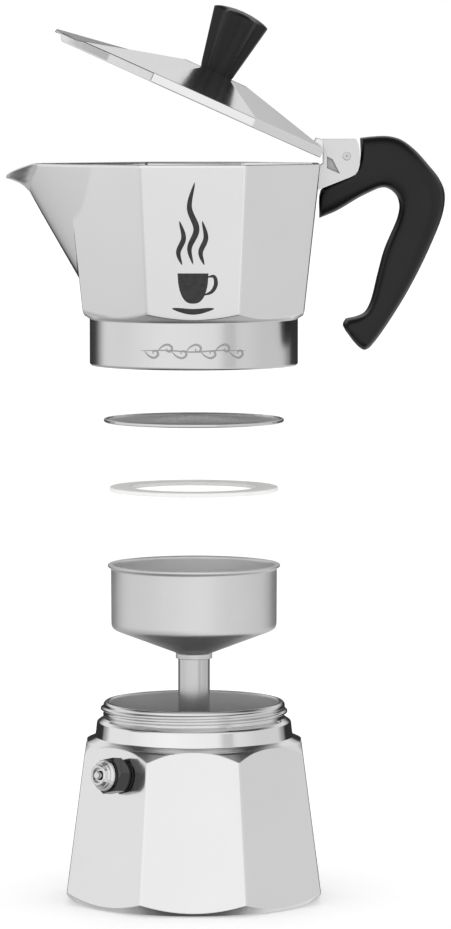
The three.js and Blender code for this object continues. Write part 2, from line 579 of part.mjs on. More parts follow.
const knobBody = () => {
    const blank = turned([
        [0, 0], [KNOB_FOOT - 0.5, 0], [KNOB_FOOT, 0.5], [KNOB_TOP, KNOB_HEIGHT - 0.6],
        [KNOB_TOP - 0.7, KNOB_HEIGHT], [KNOB_TOP * 0.6, KNOB_HEIGHT + 1.2], [0, KNOB_HEIGHT + 1.8],
    ]);
    const slope = Math.atan((KNOB_TOP - KNOB_FOOT) / KNOB_HEIGHT);
    const flutes = [];
    for (let side = 0; side < SIDES; side += 1) {
        const flute = new THREE.CylinderGeometry(3.0, 2.0, 40, 16).rotateX(Math.PI / 2).rotateY(slope)
            .translate(KNOB_FOOT + 1.8 + (KNOB_TOP - KNOB_FOOT) / 2, 0, KNOB_HEIGHT / 2);
        flutes.push(toSolid(flute).rotate([0, 0, 360 * side / SIDES]));
    }
    return blank.subtract(wasm.Manifold.union(flutes)).subtract(rod(3.4, -1, 13))
        .subtract(rod(WASHER_RADIUS + GAP, -1, WASHER_THICK + GAP));
};

const lid = () => {
    const hinge = new THREE.Group();
    hinge.position.set(HINGE_X, 0, COLLECTOR_Z + COLLECTOR_HEIGHT + HINGE_Z);
    hinge.rotation.y = LID_OPEN * Math.PI / 180;
    const group = new THREE.Group();
    group.position.set(-HINGE_X, 0, GAP - HINGE_Z);
    hinge.add(group);
    pot.add(hinge);
    addNode('lid', lidBody(), castAluminium, group);
    addNode('knob', knobBody().translate([0, 0, KNOB_Z]), bakelite, group);
    const washer = LID_HEIGHT + GAP;
    addNode('knob_washer', turnedLoop([
        [2.1, washer], [WASHER_RADIUS, washer], [WASHER_RADIUS, washer + WASHER_THICK],
        [2.1, washer + WASHER_THICK],
    ], 32), steel, group);
    addNode('knob_insert', turnedLoop([
        [2.0, KNOB_Z + 1.1], [3.1, KNOB_Z + 1.1], [3.1, KNOB_Z + 12.4], [2.0, KNOB_Z + 12.4],
    ], 24), brass, group);
    const head = LID_HEIGHT - LID_WALL - GAP;
    addNode('knob_screw', turned([
        [0, head - 1.6], [2.6, head - 1.6], [3.6, head - 0.6], [3.6, head], [1.7, head], [1.7, KNOB_Z + 12.0],
        [0, KNOB_Z + 12.0],
    ], 24).subtract(box(-4, 4, -0.4, 0.4, head - 2, head - 0.9)), steel, group);
};

addNode('boiler', boiler(), castAluminium, pot);
safetyValve();
funnel();
gasket();
filterPlate();
collector();
lid();

export default pot;
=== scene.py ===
import math

import bpy
import numpy as np
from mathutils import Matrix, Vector


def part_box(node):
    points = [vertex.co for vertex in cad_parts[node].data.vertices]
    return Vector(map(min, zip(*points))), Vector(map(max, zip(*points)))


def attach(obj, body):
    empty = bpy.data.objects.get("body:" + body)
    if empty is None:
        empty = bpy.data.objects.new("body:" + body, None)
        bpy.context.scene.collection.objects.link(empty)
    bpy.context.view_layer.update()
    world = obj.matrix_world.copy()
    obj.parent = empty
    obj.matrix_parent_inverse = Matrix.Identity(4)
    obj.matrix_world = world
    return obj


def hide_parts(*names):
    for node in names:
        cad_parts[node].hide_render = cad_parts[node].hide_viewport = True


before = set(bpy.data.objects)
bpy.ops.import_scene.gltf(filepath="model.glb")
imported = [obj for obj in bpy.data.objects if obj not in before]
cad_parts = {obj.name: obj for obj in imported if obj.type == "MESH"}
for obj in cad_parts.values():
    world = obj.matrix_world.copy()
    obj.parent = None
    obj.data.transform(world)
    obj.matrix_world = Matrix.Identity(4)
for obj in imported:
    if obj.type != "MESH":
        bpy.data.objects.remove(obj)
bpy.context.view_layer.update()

bl_info = {
    "name": "Stovetop Coffee Pot",
    "version": (1, 0, 0),
    "blender": (4, 5, 0),
    "location": "View3D > Sidebar > Coffee Pot",
    "description": "Dresses the frame of an eight-sided stovetop coffee pot, taken apart along its axis",
    "category": "Add Mesh",
}

# Lengths in the shape functions are millimetres; piece turns them into metres.
MM = 0.001
SIDE = math.pi / 4


def node_mm(name):
    """Lowest and highest corner of a frame node, in millimetres."""
    low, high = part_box(name)
    return np.array(low) / MM, np.array(high) / MM


COLLECTOR_Z = node_mm("collector")[0][2]
FUNNEL_TOP = node_mm("funnel_cup")[1][2]
GASKET_LOW, GASKET_HIGH = node_mm("gasket")
COLLECTOR_HEIGHT = 70.5
COLLECTOR_TOP_Z = COLLECTOR_Z + COLLECTOR_HEIGHT
GAP = 0.3
HINGE_RISE = 2.6
HINGE = np.array([53.3, 0.0, COLLECTOR_TOP_Z + HINGE_RISE])
LID_OPEN = math.radians(24.2)


# ---------------------------------------------------------------- surfaces

def around(fine=(), corner_step=0.35):
    """Angles round the axis: evenly spread over each of eight sides, closer together at the corners and at
    fine."""
    side = np.linspace(-20.9, 20.9, 15)
    corner = 22.5 + corner_step * np.arange(-3, 4)
    turn = np.concatenate([45 * k + np.concatenate([side, corner]) for k in range(8)])
    turn = np.concatenate([turn % 360, np.asarray(fine, float) % 360])
    turn = np.unique(np.round(turn, 3))
    return np.radians(turn)


def octagon(angle, softness=0.035):
    """Polar outline of an eight-sided shape whose sides are one unit out: 1 / cos(angle to the middle of
    the side), with each corner an arc c cos(a) + sqrt(p*p - (c sin a)**2) about a centre c out, p being the
    softness."""
    off = np.abs((angle + SIDE / 2) % SIDE - SIDE / 2)
    straight = 1 / np.cos(off)
    centre = (1 - softness) / math.cos(SIDE / 2)
    swing = SIDE / 2 - off
    inside = np.maximum(softness ** 2 - (centre * np.sin(swing)) ** 2, 0)
    arc = centre * np.cos(swing) + np.sqrt(inside)
    tangent = math.atan((1 - softness) * math.tan(SIDE / 2))
    return np.where(off > tangent, arc, straight)


def stations(columns, *points):
    """Stacks (radius, height, fillet) stations, each radius or height one number or one per column."""
    radius = np.stack([np.broadcast_to(np.asarray(p[0], float), columns) for p in points])
    height = np.stack([np.broadcast_to(np.asarray(p[1], float), columns) for p in points])
    fillet = np.array([p[2] if len(p) > 2 else 0.0 for p in points])
    return np.stack([radius, height], -1), fillet


def eased(line, fillet, loop, steps=3):
    """Each corner P with a fillet becomes the curve (1-t)^2 A + 2t(1-t) P + t^2 B between points A and B
    set back along its two legs by the fillet, but never by more than 0.45 of a leg."""
    before, after = np.roll(line, 1, 0), np.roll(line, -1, 0)
    share = np.linspace(0, 1, steps + 1)[:, None, None]
    rows = []
    last = len(line) - 1
    for k, size in enumerate(fillet):
        corner = line[k]
        if size == 0 or (not loop and k in (0, last)):
            rows.append(corner[None])
            continue
        back, ahead = before[k] - corner, after[k] - corner
        back_length = np.linalg.norm(back, axis=-1, keepdims=True) + 1e-9
        ahead_length = np.linalg.norm(ahead, axis=-1, keepdims=True) + 1e-9
        start = corner + back / back_length * np.minimum(size, 0.45 * back_length)
        end = corner + ahead / ahead_length * np.minimum(size, 0.45 * ahead_length)
        rows.append((1 - share) ** 2 * start + 2 * share * (1 - share) * corner + share ** 2 * end)
    return np.concatenate(rows)


def turned(angle, profile, fillet, loop=False, steps=3):
    """Carries a profile of (radius, height), which may change with the angle, round the axis."""
    rows = eased(profile, fillet, loop, steps)
    radius, height = rows[..., 0], rows[..., 1]
    return np.stack([radius * np.cos(angle), radius * np.sin(angle), height], -1)


def skin(grid, loop=False):
    """Vertices and faces of a grid of rows that close round their columns. The rows close on themselves, or
    the first and last row each shrink to one point at their mean, joined by triangles."""
    rows, columns = grid.shape[:2]
    index = np.arange(rows * columns).reshape(rows, columns)
    low, high = (index, np.roll(index, -1, 0)) if loop else (index[:-1], index[1:])
    quads = np.stack([low, np.roll(low, -1, 1), np.roll(high, -1, 1), high], -1).reshape(-1, 4)
    points = grid.reshape(-1, 3)
    faces = quads.tolist()
    if not loop:
        poles = np.stack([grid[0].mean(0), grid[-1].mean(0)])
        points = np.concatenate([points, poles])
        foot, top = rows * columns, rows * columns + 1
        first, final = index[0], index[-1]
        faces += [[foot, b, a] for a, b in zip(first.tolist(), np.roll(first, -1).tolist())]
        faces += [[top, a, b] for a, b in zip(final.tolist(), np.roll(final, -1).tolist())]
    return points, faces


def facing_out(points, faces):
    """Turns all faces round if the signed volume, the sum of a . (b x c) / 6 over triangles, is negative."""
    volume = 0.0
    for size in (3, 4):
        group = np.array([f for f in faces if len(f) == size])
        if not len(group):
            continue
        for k in range(1, size - 1):
            a, b, c = points[group[:, 0]], points[group[:, k]], points[group[:, k + 1]]
            volume += np.einsum("ij,ij->i", a, np.cross(b, c)).sum()
    return faces if volume > 0 else [face[::-1] for face in faces]


def piece(name, shape, material, body, replaced=()):
    """One smooth mesh object from points in millimetres and faces, riding on a body of the frame."""
    points, faces = shape
    mesh = bpy.data.meshes.new(name)
    mesh.from_pydata((np.asarray(points) * MM).tolist(), [], facing_out(np.asarray(points), faces))
    mesh.update()
    mesh.polygons.foreach_set("use_smooth", np.ones(len(mesh.polygons), bool))
    mesh.materials.append(material)
    item = bpy.data.objects.new(name, mesh)
    bpy.context.scene.collection.objects.link(item)
    weigh_normals(item)
    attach(item, body)
    if replaced:
        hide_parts(*replaced)
    return item


def weigh_normals(item):
    """Keeps wide flats flat beside narrow rounded edges."""
    modifier = item.modifiers.new("weighted normals", "WEIGHTED_NORMAL")
    modifier.keep_sharp = True
    modifier.weight = 80


def joined(*shapes):
    """Several (points, faces) as one."""
    points, faces, start = [], [], 0
    for part_points, part_faces in shapes:
        part_faces = facing_out(part_points, part_faces)
        points.append(part_points)
        faces += [[corner + start for corner in face] for face in part_faces]
        start += len(part_points)
    return np.concatenate(points), faces


# ---------------------------------------------------------------- shader maths

class Wire:
    """A node socket or number that adds Math nodes when it is used in an expression."""

    def __init__(self, sheet, socket):
        self.sheet, self.socket = sheet, socket

    def _math(self, operation, first, second=None, third=None):
        values = [first, second, third]
        return self.sheet.add("ShaderNodeMath", {"operation": operation},
                              {k: v for k, v in enumerate(values) if v is not None})

    def __add__(self, other):
        return self._math("ADD", self, other)

    def __radd__(self, other):
        return self._math("ADD", other, self)

    def __sub__(self, other):
        return self._math("SUBTRACT", self, other)

    def __rsub__(self, other):
        return self._math("SUBTRACT", other, self)

    def __mul__(self, other):
        return self._math("MULTIPLY", self, other)

    def __rmul__(self, other):
        return self._math("MULTIPLY", other, self)

    def __truediv__(self, other):
        return self._math("DIVIDE", self, other)

    def __pow__(self, other):
        return self._math("POWER", self, other)

    def size(self):
        return self._math("ABSOLUTE", self)

    def clipped(self, low, high):
        """0 below low, 1 above high, a straight ramp between."""
        return self.sheet.add("ShaderNodeMapRange", {"clamp": True}, {0: self, 1: low, 2: high})


class Sheet:
    """The node tree of one material, or of the world."""

    def __init__(self, name, kind="materials"):
        self.material = getattr(bpy.data, kind).new(name)
        self.material.use_nodes = True
        self.tree = self.material.node_tree
        self.tree.nodes.clear()

    def add(self, kind, settings=None, inputs=None, output=0):
        """One node: its settings first, then values or wires for its sockets by name or number."""
        node = self.tree.nodes.new(kind)
        for key, value in (settings or {}).items():
            if key == "stops":
                ramp = node.color_ramp
                while len(ramp.elements) < len(value):
                    ramp.elements.new(0.5)
                for element, (place, shade) in zip(ramp.elements, value):
                    element.position, element.color = place, (*shade, 1.0)
            else:
                setattr(node, key, value)
        for key, value in (inputs or {}).items():
            if isinstance(value, Wire):
                self.tree.links.new(value.socket, node.inputs[key])
            else:
                node.inputs[key].default_value = value
        return Wire(self, node.outputs[output]) if node.outputs else None

    def place(self):
        return self.add("ShaderNodeTexCoord", output="Object")

    def split(self, vector):
        node = self.tree.nodes.new("ShaderNodeSeparateXYZ")
        self.tree.links.new(vector.socket, node.inputs[0])
        return [Wire(self, node.outputs[k]) for k in range(3)]

    def noise(self, scale, detail=4.0, stretch=(1, 1, 1)):
        moved = self.add("ShaderNodeMapping", {}, {"Vector": self.place(), "Scale": stretch})
        return self.add("ShaderNodeTexNoise", {}, {"Vector": moved, "Scale": scale, "Detail": detail})

    def mix(self, share, first, second):
        return self.add("ShaderNodeMix", {"data_type": "RGBA"}, {0: share, 6: first, 7: second}, output=2)

    def bump(self, height, strength, distance):
        return self.add("ShaderNodeBump", {}, {"Height": height, "Strength": strength, "Distance": distance})

    def finish(self, **sockets):
        names = {key.replace("_", " "): value for key, value in sockets.items()}
        shader = self.add("ShaderNodeBsdfPrincipled", {}, names)
        self.add("ShaderNodeOutputMaterial", {}, {"Surface": shader})
        return self.material


def grey(level, warmth=0.0):
    return (level * (1 + warmth), level, level * (1 - warmth), 1.0)


# ---------------------------------------------------------------- finishes

def cast_metal(look):
    """Polished casting: a faint buffed grain along the sides, and slow changes of sheen."""
    sheet = Sheet("cast aluminium")
    grain = sheet.noise(900, 3, (1, 1, 0.06))
    cloud = sheet.noise(22, 3)
    pits = sheet.noise(2600, 2)
    sheen = look.cast_roughness + (cloud - 0.5) * 0.08 + (grain - 0.5) * 0.10
    colour = sheet.mix(cloud.clipped(0.35, 0.65), grey(look.cast_shade * 0.97), grey(look.cast_shade))
    relief = sheet.bump(grain * 0.7 + pits * 0.3, 0.10, 0.00004)
    return sheet.finish(Base_Color=colour, Metallic=1.0, Roughness=sheen, Normal=relief)


def bright_metal(name, shade, roughness):
    """Lathe-polished metal: faint rings round the axis."""
    sheet = Sheet(name)
    rings = sheet.noise(1500, 2, (0.02, 0.02, 1))
    cloud = sheet.noise(30, 3)
    sheen = roughness + (cloud - 0.5) * 0.05
    colour = sheet.mix(cloud.clipped(0.3, 0.7), grey(shade * 0.96), grey(shade))
    relief = sheet.bump(rings, 0.08, 0.00003)
    return sheet.finish(Base_Color=colour, Metallic=1.0, Roughness=sheen, Normal=relief)


def spun_metal(look):
    """Satin spun sheet: fine rings and a soft sheen."""
    sheet = Sheet("spun aluminium")
    rings = sheet.noise(2200, 3, (0.015, 0.015, 1))
    cloud = sheet.noise(40, 4)
    sheen = 0.45 + (cloud - 0.5) * 0.10 + (rings - 0.5) * 0.12
    colour = sheet.mix(cloud.clipped(0.3, 0.7), grey(0.74), grey(0.80))
    relief = sheet.bump(rings, 0.20, 0.00004)
    return sheet.finish(Base_Color=colour, Metallic=1.0, Roughness=sheen, Normal=relief)


def bakelite(look):
    """Black moulded resin: a soft gloss with faint orange peel and rubbed patches."""
    sheet = Sheet("bakelite")
    peel = sheet.noise(700, 3)
    rub = sheet.noise(45, 5)
    sheen = look.grip_roughness + (rub - 0.5) * 0.16
    colour = sheet.mix(rub.clipped(0.4, 0.7), tuple(look.grip_colour), (0.011, 0.010, 0.010, 1))
    relief = sheet.bump(peel, 0.12, 0.00008)
    return sheet.finish(Base_Color=colour, Roughness=sheen, Normal=relief, Specular_IOR_Level=0.3)


def silicone(look):
    """White silicone: matt, with a little dust and tone."""
    sheet = Sheet("silicone")
    cloud = sheet.noise(80, 4)
    fine = sheet.noise(1800, 2)
    colour = sheet.mix(cloud, (0.86, 0.86, 0.84, 1), (0.92, 0.92, 0.90, 1))
    relief = sheet.bump(fine, 0.10, 0.00005)
    return sheet.finish(Base_Color=colour, Roughness=0.5 + (cloud - 0.5) * 0.2, Normal=relief)


def plain_brass(look):
    sheet = Sheet("brass")
    cloud = sheet.noise(120, 4)
    rings = sheet.noise(2000, 2, (0.05, 0.05, 1))
    colour = sheet.mix(cloud, (0.62, 0.45, 0.20, 1), (0.74, 0.58, 0.28, 1))
    relief = sheet.bump(rings, 0.1, 0.00003)
    return sheet.finish(Base_Color=colour, Metallic=1.0, Roughness=0.25 + cloud * 0.15, Normal=relief)


def dark_fibre(look):
    sheet = Sheet("fibre")
    fleck = sheet.noise(900, 5)
    colour = sheet.mix(fleck.clipped(0.3, 0.7), (0.010, 0.009, 0.009, 1), (0.026, 0.022, 0.020, 1))
    return sheet.finish(Base_Color=colour, Roughness=0.75 + (fleck - 0.5) * 0.2,
        Normal=sheet.bump(fleck, 0.3, 0.00005))


def print_black(look):
    sheet = Sheet("print black")
    wear = sheet.noise(600, 4)
    colour = sheet.mix(wear.clipped(0.35, 0.75), (0.012, 0.012, 0.013, 1), (0.03, 0.03, 0.032, 1))
    return sheet.finish(Base_Color=colour, Roughness=0.45 + (wear - 0.5) * 0.1)


FINISHES = {}


def finish(name):
    """The finishes are made once, from the scene's look settings."""
    look = bpy.context.scene.coffee_pot_look
    if not FINISHES:
        FINISHES.update({
            "cast": cast_metal(look),
            "raw": bright_metal("raw casting", 0.78, 0.5),
            "ring": bright_metal("turned ring", 0.70, 0.22),
            "cheek": bright_metal("hinge cheek", 0.72, 0.34),
            # Darker metal for the cheek pockets: painted shade in the recess, shade 0.45 against the cheek's
            # 0.72.
            "pocket_painted_shade": bright_metal("cheek pocket", 0.45, 0.4),
            "mirror": bright_metal("polished collar", 0.80, 0.10),
            "thread": bright_metal("cut thread", 0.72, 0.16),
            # Near-black valve steel (0.09): a painted dark reflection that stands in for the dark
            # surroundings it mirrors.
            "chrome_painted_dark_reflection": bright_metal("valve steel with painted dark reflection", 0.09, 0.14),
            "nose": bright_metal("valve nose", 0.74, 0.16),
            "steel": bright_metal("drawn steel", 0.60, 0.22),
            "spun": spun_metal(look),
            "etched": bright_metal("etched lines", 0.42, 0.45),
            "plate": bright_metal("plate aluminium", 0.72, 0.28),
            "brass": plain_brass(look),
            "bakelite": bakelite(look),
            "silicone": silicone(look),
            "fibre": dark_fibre(look),
            "print": print_black(look),
        })
    return FINISHES[name]


def dress(node, name, bevel=0.0):
    """A frame node keeps its shape, gets a finish, and its edges are softened if asked."""
    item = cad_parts[node]
    item.data.materials.clear()
    item.data.materials.append(finish(name))
    if bevel:
        weld = item.modifiers.new("weld", "WELD")
        weld.merge_threshold = 1e-6
        edge = item.modifiers.new("edge", "BEVEL")
        edge.width, edge.segments, edge.limit_method = bevel * MM, 2, "ANGLE"
        edge.angle_limit = math.radians(35)
        edge.harden_normals = True


# ---------------------------------------------------------------- boiler

BOILER_FOOT, BOILER_SHOULDER, SHOULDER_Z = 45.0, 38.15, 53.0
CHAMFER_FOOT, CHAMFER_TOP, CHAMFER_HEIGHT = 43.4, 48.8, 4.6
COLLAR_RADIUS, COLLAR_Z = 34.8, 57.2
SHOULDER_BEND = np.array([38.2, 55.8])
SHOULDER_EDGE = np.array([41.4, 52.4])
RIM_Z = node_mm("boiler")[1][2]
THREAD_PITCH = 2.0


def thread_rows(angle, root, height, low, high, first, last, step=0.12):
    """Rows up a threaded stretch: the radius is root + height * w, where w is a rounded ridge that climbs
    one pitch a turn and fades in and out at its first and last heights."""
    rows = []
    for z in np.arange(low, high, step):
        turn = angle / (2 * math.pi)
        count = np.round(z / THREAD_PITCH - turn)
        centre = (count + turn) * THREAD_PITCH
        ridge = np.clip((0.4 * THREAD_PITCH - np.abs(z - centre)) / (0.28 * THREAD_PITCH), 0, 1)
        ridge = ridge * ridge * (3 - 2 * ridge)
        fade = np.clip((centre - first) / 0.8, 0, 1) * np.clip((last - centre) / 0.8, 0, 1)
        rows.append((root + height * ridge * fade, z))
    return rows


def boiler_shape():
    """The radius is the smaller of an eight-sided taper and a turned blank; two rows follow the lines where
    they meet, at heights solved from side(z) * octagon(angle) = cone(z)."""
    angle = around()
    outline = octagon(angle)
    slope = (BOILER_FOOT - BOILER_SHOULDER) / SHOULDER_Z
    flare = (CHAMFER_TOP - CHAMFER_FOOT) / CHAMFER_HEIGHT
    foot = np.maximum((BOILER_FOOT * outline - CHAMFER_FOOT) / (flare + slope * outline), 0.1)
    spread, fall = SHOULDER_EDGE - SHOULDER_BEND
    rise = spread / -fall
    scallop = (SHOULDER_BEND[0] + SHOULDER_BEND[1] * rise - BOILER_FOOT * outline) / (rise - slope * outline)

    def side(z):
        return (BOILER_FOOT - slope * z) * outline

    profile, fillet = stations(
        angle.shape,
        (0, 0.7), (33.2, 0.7, 0.3), (34.0, 0.0, 0.3), (CHAMFER_FOOT, 0.0, 0.3), (side(foot), foot, 0.35),
        (side(foot + 4), foot + 4), (side(scallop - 4), scallop - 4), (side(scallop), scallop, 0.35),
        (np.minimum(side(scallop) - 0.3, SHOULDER_BEND[0]), SHOULDER_BEND[1], 0.8),
        (COLLAR_RADIUS, COLLAR_Z, 0.5), (COLLAR_RADIUS, COLLAR_Z + 0.5, 0.3), (34.6, 58.8, 0.5),
        (34.2, 62.4, 0.5), (33.0, 63.2, 0.3), (31.9, 63.8),
        *thread_rows(angle, 31.9, 1.0, 64.0, 68.4, 64.9, 68.1),
        (31.9, RIM_Z - 0.7, 0.3), (31.3, RIM_Z, 0.3), (30.0, RIM_Z, 0.3), (29.7, RIM_Z - 0.4, 0.3),
        (29.7, 57.0, 1.5),
        (34.7, 53.5, 2.0), (40.9, 5.6, 2.0), (38.4, 3.2, 1.0), (0, 3.2),
    )
    return skin(turned(angle, profile, fillet))


def on_shoulder(r, z, p):
    """True between the scalloped tops of the sides and the collar, away from the flat sides themselves."""
    flat = np.abs((np.arctan2(p[:, 1], p[:, 0]) + SIDE / 2) % SIDE - SIDE / 2)
    side = (BOILER_FOOT - (BOILER_FOOT - BOILER_SHOULDER) / SHOULDER_Z * z) / np.cos(flat)
    return r < side - 0.25


def boiler_inside(r, z, p):
    """True for the inner wall and floor of the boiler."""
    wall = BOILER_FOOT - (BOILER_FOOT - BOILER_SHOULDER) / SHOULDER_Z * z - 2.0
    return ((z > 2.0) & (z < RIM_Z - 0.2) & (r < np.where(z > 50, 30.5, wall))
        | (z > 49) & (z < 58) & (r < 112.1 - z * 1.429))


def split_finish(item, other, test):
    """Gives a second finish to the faces whose middle passes the test, which takes radius and height in
    mm."""
    item.data.materials.append(other)
    count = len(item.data.polygons)
    middle = np.empty(count * 3)
    item.data.polygons.foreach_get("center", middle)
    middle = middle.reshape(-1, 3) / MM
    chosen = test(np.hypot(middle[:, 0], middle[:, 1]), middle[:, 2], middle)
    slots = np.zeros(count, np.int32)
    item.data.polygons.foreach_get("material_index", slots)
    slots[chosen] = len(item.data.materials) - 1
    item.data.polygons.foreach_set("material_index", slots)


# ---------------------------------------------------------------- funnel, gasket, plate

def funnel_cup_shape():
    angle = around()
    profile, fillet = stations(
        angle.shape,
        (5.8, -33.4, 0.1), (6.4, -33.4, 0.2), (6.4, -31.4, 0.5), (28.4, -22.9, 1.4), (29.1, -21.5, 1.2),
        (29.2, -1.5, 0.4), (30.2, -1.0, 0.3), (30.4, -0.5, 0.3), (30.2, 0.0, 0.3), (28.7, 0.0, 0.4),
        (28.3, -0.6, 0.4), (28.2, -21.7, 1.2), (5.8, -29.8, 0.2),
    )
    profile[..., 1] += FUNNEL_TOP
    return skin(turned(angle, profile, fillet, loop=True), loop=True)


def funnel_stem_shape():
    angle = around()
    profile, fillet = stations(
        angle.shape,
        (4.75, -60.0, 0.1), (5.55, -60.0, 0.3), (5.55, -30.4, 0.1), (4.75, -30.4, 0.1),
    )
    profile[..., 1] += FUNNEL_TOP
    return skin(turned(angle, profile, fillet, loop=True), loop=True)


def gasket_shape():
    angle = around()
    inner, outer = 21.9, GASKET_HIGH[0] - 0.01
    low, high = GASKET_LOW[2], GASKET_HIGH[2]
    profile, fillet = stations(
        angle.shape, (inner, low, 0.5), (outer, low, 0.5), (outer, high, 0.5), (inner, high, 0.5))
    return skin(turned(angle, profile, fillet, loop=True, steps=5), loop=True)


# ---------------------------------------------------------------- collector

COLLECTOR_FOOT, COLLECTOR_SIDE = 36.36, 44.0
RING_RADIUS, RING_HEIGHT = 36.5, 17.2
SHELF_RADIUS, SCALLOP_RISE = 37.9, 0.5676
SPOUT_ROOT, SPOUT_END = np.array([34.4, 27.8]), np.array([56.6, 8.0])
SPOUT_CORNER = (39.94, 16.54, 33.0)
SPOUT_TOP = (*SPOUT_END, COLLECTOR_HEIGHT)
KEEL_FOOT, KEEL_HEAD = (41.0, 0.9, 31.3), (59.2, 1.3, 62.8)
SPOUT_PLANES = (
    ((*SPOUT_ROOT, COLLECTOR_HEIGHT), SPOUT_CORNER, SPOUT_TOP), (SPOUT_TOP, SPOUT_CORNER, KEEL_HEAD),
    (SPOUT_CORNER, KEEL_FOOT, KEEL_HEAD),
)
LIP_PLANE = (SPOUT_TOP, (65.9, 1.4, 65.9), KEEL_HEAD)


def plane(points):
    """Outward normal and offset of the plane through three (towards the spout, sideways, up) points."""
    first, second, third = (np.array(p) for p in points)
    normal = np.cross(second - first, third - first)
    normal = normal / np.linalg.norm(normal)
    if normal[1] < 0:
        normal = -normal
    return normal, normal @ first


def beside_plane(points, swing, height, inset=0.0):
    """Distance from the axis, in a direction swung from the spout, to the plane moved in by inset."""
    normal, offset = plane(points)
    return (offset - inset - normal[2] * height) / (normal[0] * np.cos(swing) + normal[1] * np.sin(swing))


def line_reach(near, far, swing, inset=0.0):
    """Distance from the axis, in a direction swung from the spout, to the line through two (towards,
    sideways) points moved in by inset: offset / (normal . direction). The points may change with the
    direction."""
    normal_t, normal_s = far[1] - near[1], near[0] - far[0]
    length = np.hypot(normal_t, normal_s)
    offset = (normal_t * near[0] + normal_s * near[1]) / length - inset
    closing = (normal_t * np.cos(swing) + normal_s * np.sin(swing)) / length
    return np.where(closing * offset > 1e-6, offset / np.where(closing == 0, 1, closing), 1e6)


def spout_side(swing, height, inset=0.0):
    """Distance to the spout's side: the least of three planes that meet in a softly rounded bend."""
    reach = [np.maximum(beside_plane(corners, swing, height, inset), 1.0) for corners in SPOUT_PLANES]
    return lesser(lesser(reach[0], reach[1], 30), reach[2])


def lesser(first, second, sharpness=40):
    """A minimum with its corner rounded: (a^-p + b^-p)^(-1/p)."""
    return (first ** -sharpness + second ** -sharpness) ** (-1 / sharpness)


def collector_shape():
    """A closed loop of rows up the outside, over the rim, down the inside, across the floor and down the
    threaded recess. The outside is the larger of the eight-sided taper and the spout's three planes, cut off
    by its keel."""
    crease = np.linspace(21.4, 40.0, 63)
    fine = 180 + np.concatenate([np.linspace(-9, 9, 37), np.linspace(-20, 20, 41), crease, -crease])
    angle = around(fine)
    outline = octagon(angle)
    swing = np.abs(math.pi - angle)
    degrees = np.degrees(swing)
    taper = (COLLECTOR_SIDE - COLLECTOR_FOOT) / COLLECTOR_HEIGHT
    near = degrees < 44

    def outside(z):
        pot = (COLLECTOR_FOOT + taper * z) * outline
        keel = np.interp(z, [0, 31.3, 60.5, 62.8, 64.2, 65.4, 90], [22.9, 41.0, 57.9, 59.6, 61.9, 65.9, 65.9])
        reach = keel / np.cos(swing)
        side = lesser(spout_side(swing, z), reach, 90)
        lip = lesser(np.maximum(beside_plane(LIP_PLANE, swing, z), 1.0), reach)
        return np.where(near, np.maximum(pot, np.maximum(side, np.where(degrees < 12, lip, 0))), pot)

    def inside(z):
        pot = (COLLECTOR_FOOT + taper * z - 2.4) * outline
        keel = np.interp(z, [0, 36.5, 60.5, 63.4, 64.6, 65.6, 90], [20.0, 40.0, 54.4, 56.6, 59.5, 64.6, 64.9])
        reach = keel / np.cos(swing)
        side = lesser(spout_side(swing, z, 2.2), reach)
        lip = lesser(np.maximum(beside_plane(LIP_PLANE, swing, z, 1.2), 1.0), reach)
        return np.where(near, np.maximum(pot, np.maximum(side, np.where(degrees < 12, lip, 0))), pot)

    scallop = ((RING_HEIGHT + SCALLOP_RISE * (COLLECTOR_FOOT * outline - SHELF_RADIUS))
        / (1 - SCALLOP_RISE * taper * outline))
    rim = COLLECTOR_HEIGHT - 4.7 * np.clip(1 - degrees / 8.4, 0, 1) ** 1.25
    share = np.linspace(0, 1, 46)
    share = share[1:-1]
    outer = [(outside(scallop + s * (rim - scallop)), scallop + s * (rim - scallop)) for s in share]
    floor = 21.5
    inner = [(inside(rim + s * (floor - rim)), rim + s * (floor - rim)) for s in share]
    thread = thread_rows(angle, 34.2, -0.95, 5.0, 12.6, 6.2, 11.8, 0.2)[::-1]
    profile, fillet = stations(
        angle.shape,
        (35.9, 0.0, 0.3), (RING_RADIUS, 0.6, 0.4), (RING_RADIUS, RING_HEIGHT - 0.9, 0.3),
        (SHELF_RADIUS, RING_HEIGHT, 0.3),
        (outside(scallop), scallop, 0.4),
        *outer,
        (outside(rim - 0.4), rim - 0.4), (outside(rim) - 0.15, rim - 0.12), (outside(rim) - 0.45, rim),
        (inside(rim) + 0.45, rim), (inside(rim) + 0.12, rim - 0.15), (inside(rim - 0.5), rim - 0.5),
        *inner,
        (inside(floor), floor), (34.0, 20.0, 1.0), (28, 19.9, 2.0), (8.5, 25.2, 0.5), (6.2, 25.6, 0.3),
        (6.2, 22.9, 0.1), (8.2, 22.9, 0.5), (32.0, 16.9, 0.4), (32.65, 16.2, 0.2), (32.65, 13.8, 0.4),
        *thread,
        (35.1, 3.8, 0.3), (35.1, 0.0, 0.1),
    )
    profile[..., 1] += COLLECTOR_Z
    return skin(turned(angle, profile, fillet, loop=True), loop=True)


def outline_curve(points, count):
    """A centripetal curve through the points: x and z as piecewise cubics of the distance along them, with
    slopes from the neighbours on each side."""
    points = np.asarray(points, float)
    along = np.concatenate([[0], np.cumsum(np.linalg.norm(np.diff(points, axis=0), axis=1) ** 0.5)])
    slope = np.gradient(points, along, axis=0)
    place = np.linspace(0, along[-1], count)
    k = np.clip(np.searchsorted(along, place, side="right") - 1, 0, len(points) - 2)
    span = (along[k + 1] - along[k])[:, None]
    t = ((place - along[k]) / span[:, 0])[:, None]
    a, b = points[k], points[k + 1]
    a_slope, b_slope = slope[k] * span, slope[k + 1] * span
    return ((2 * t ** 3 - 3 * t ** 2 + 1) * a + (t ** 3 - 2 * t ** 2 + t) * a_slope
            + (3 * t ** 2 - 2 * t ** 3) * b + (t ** 3 - t ** 2) * b_slope)


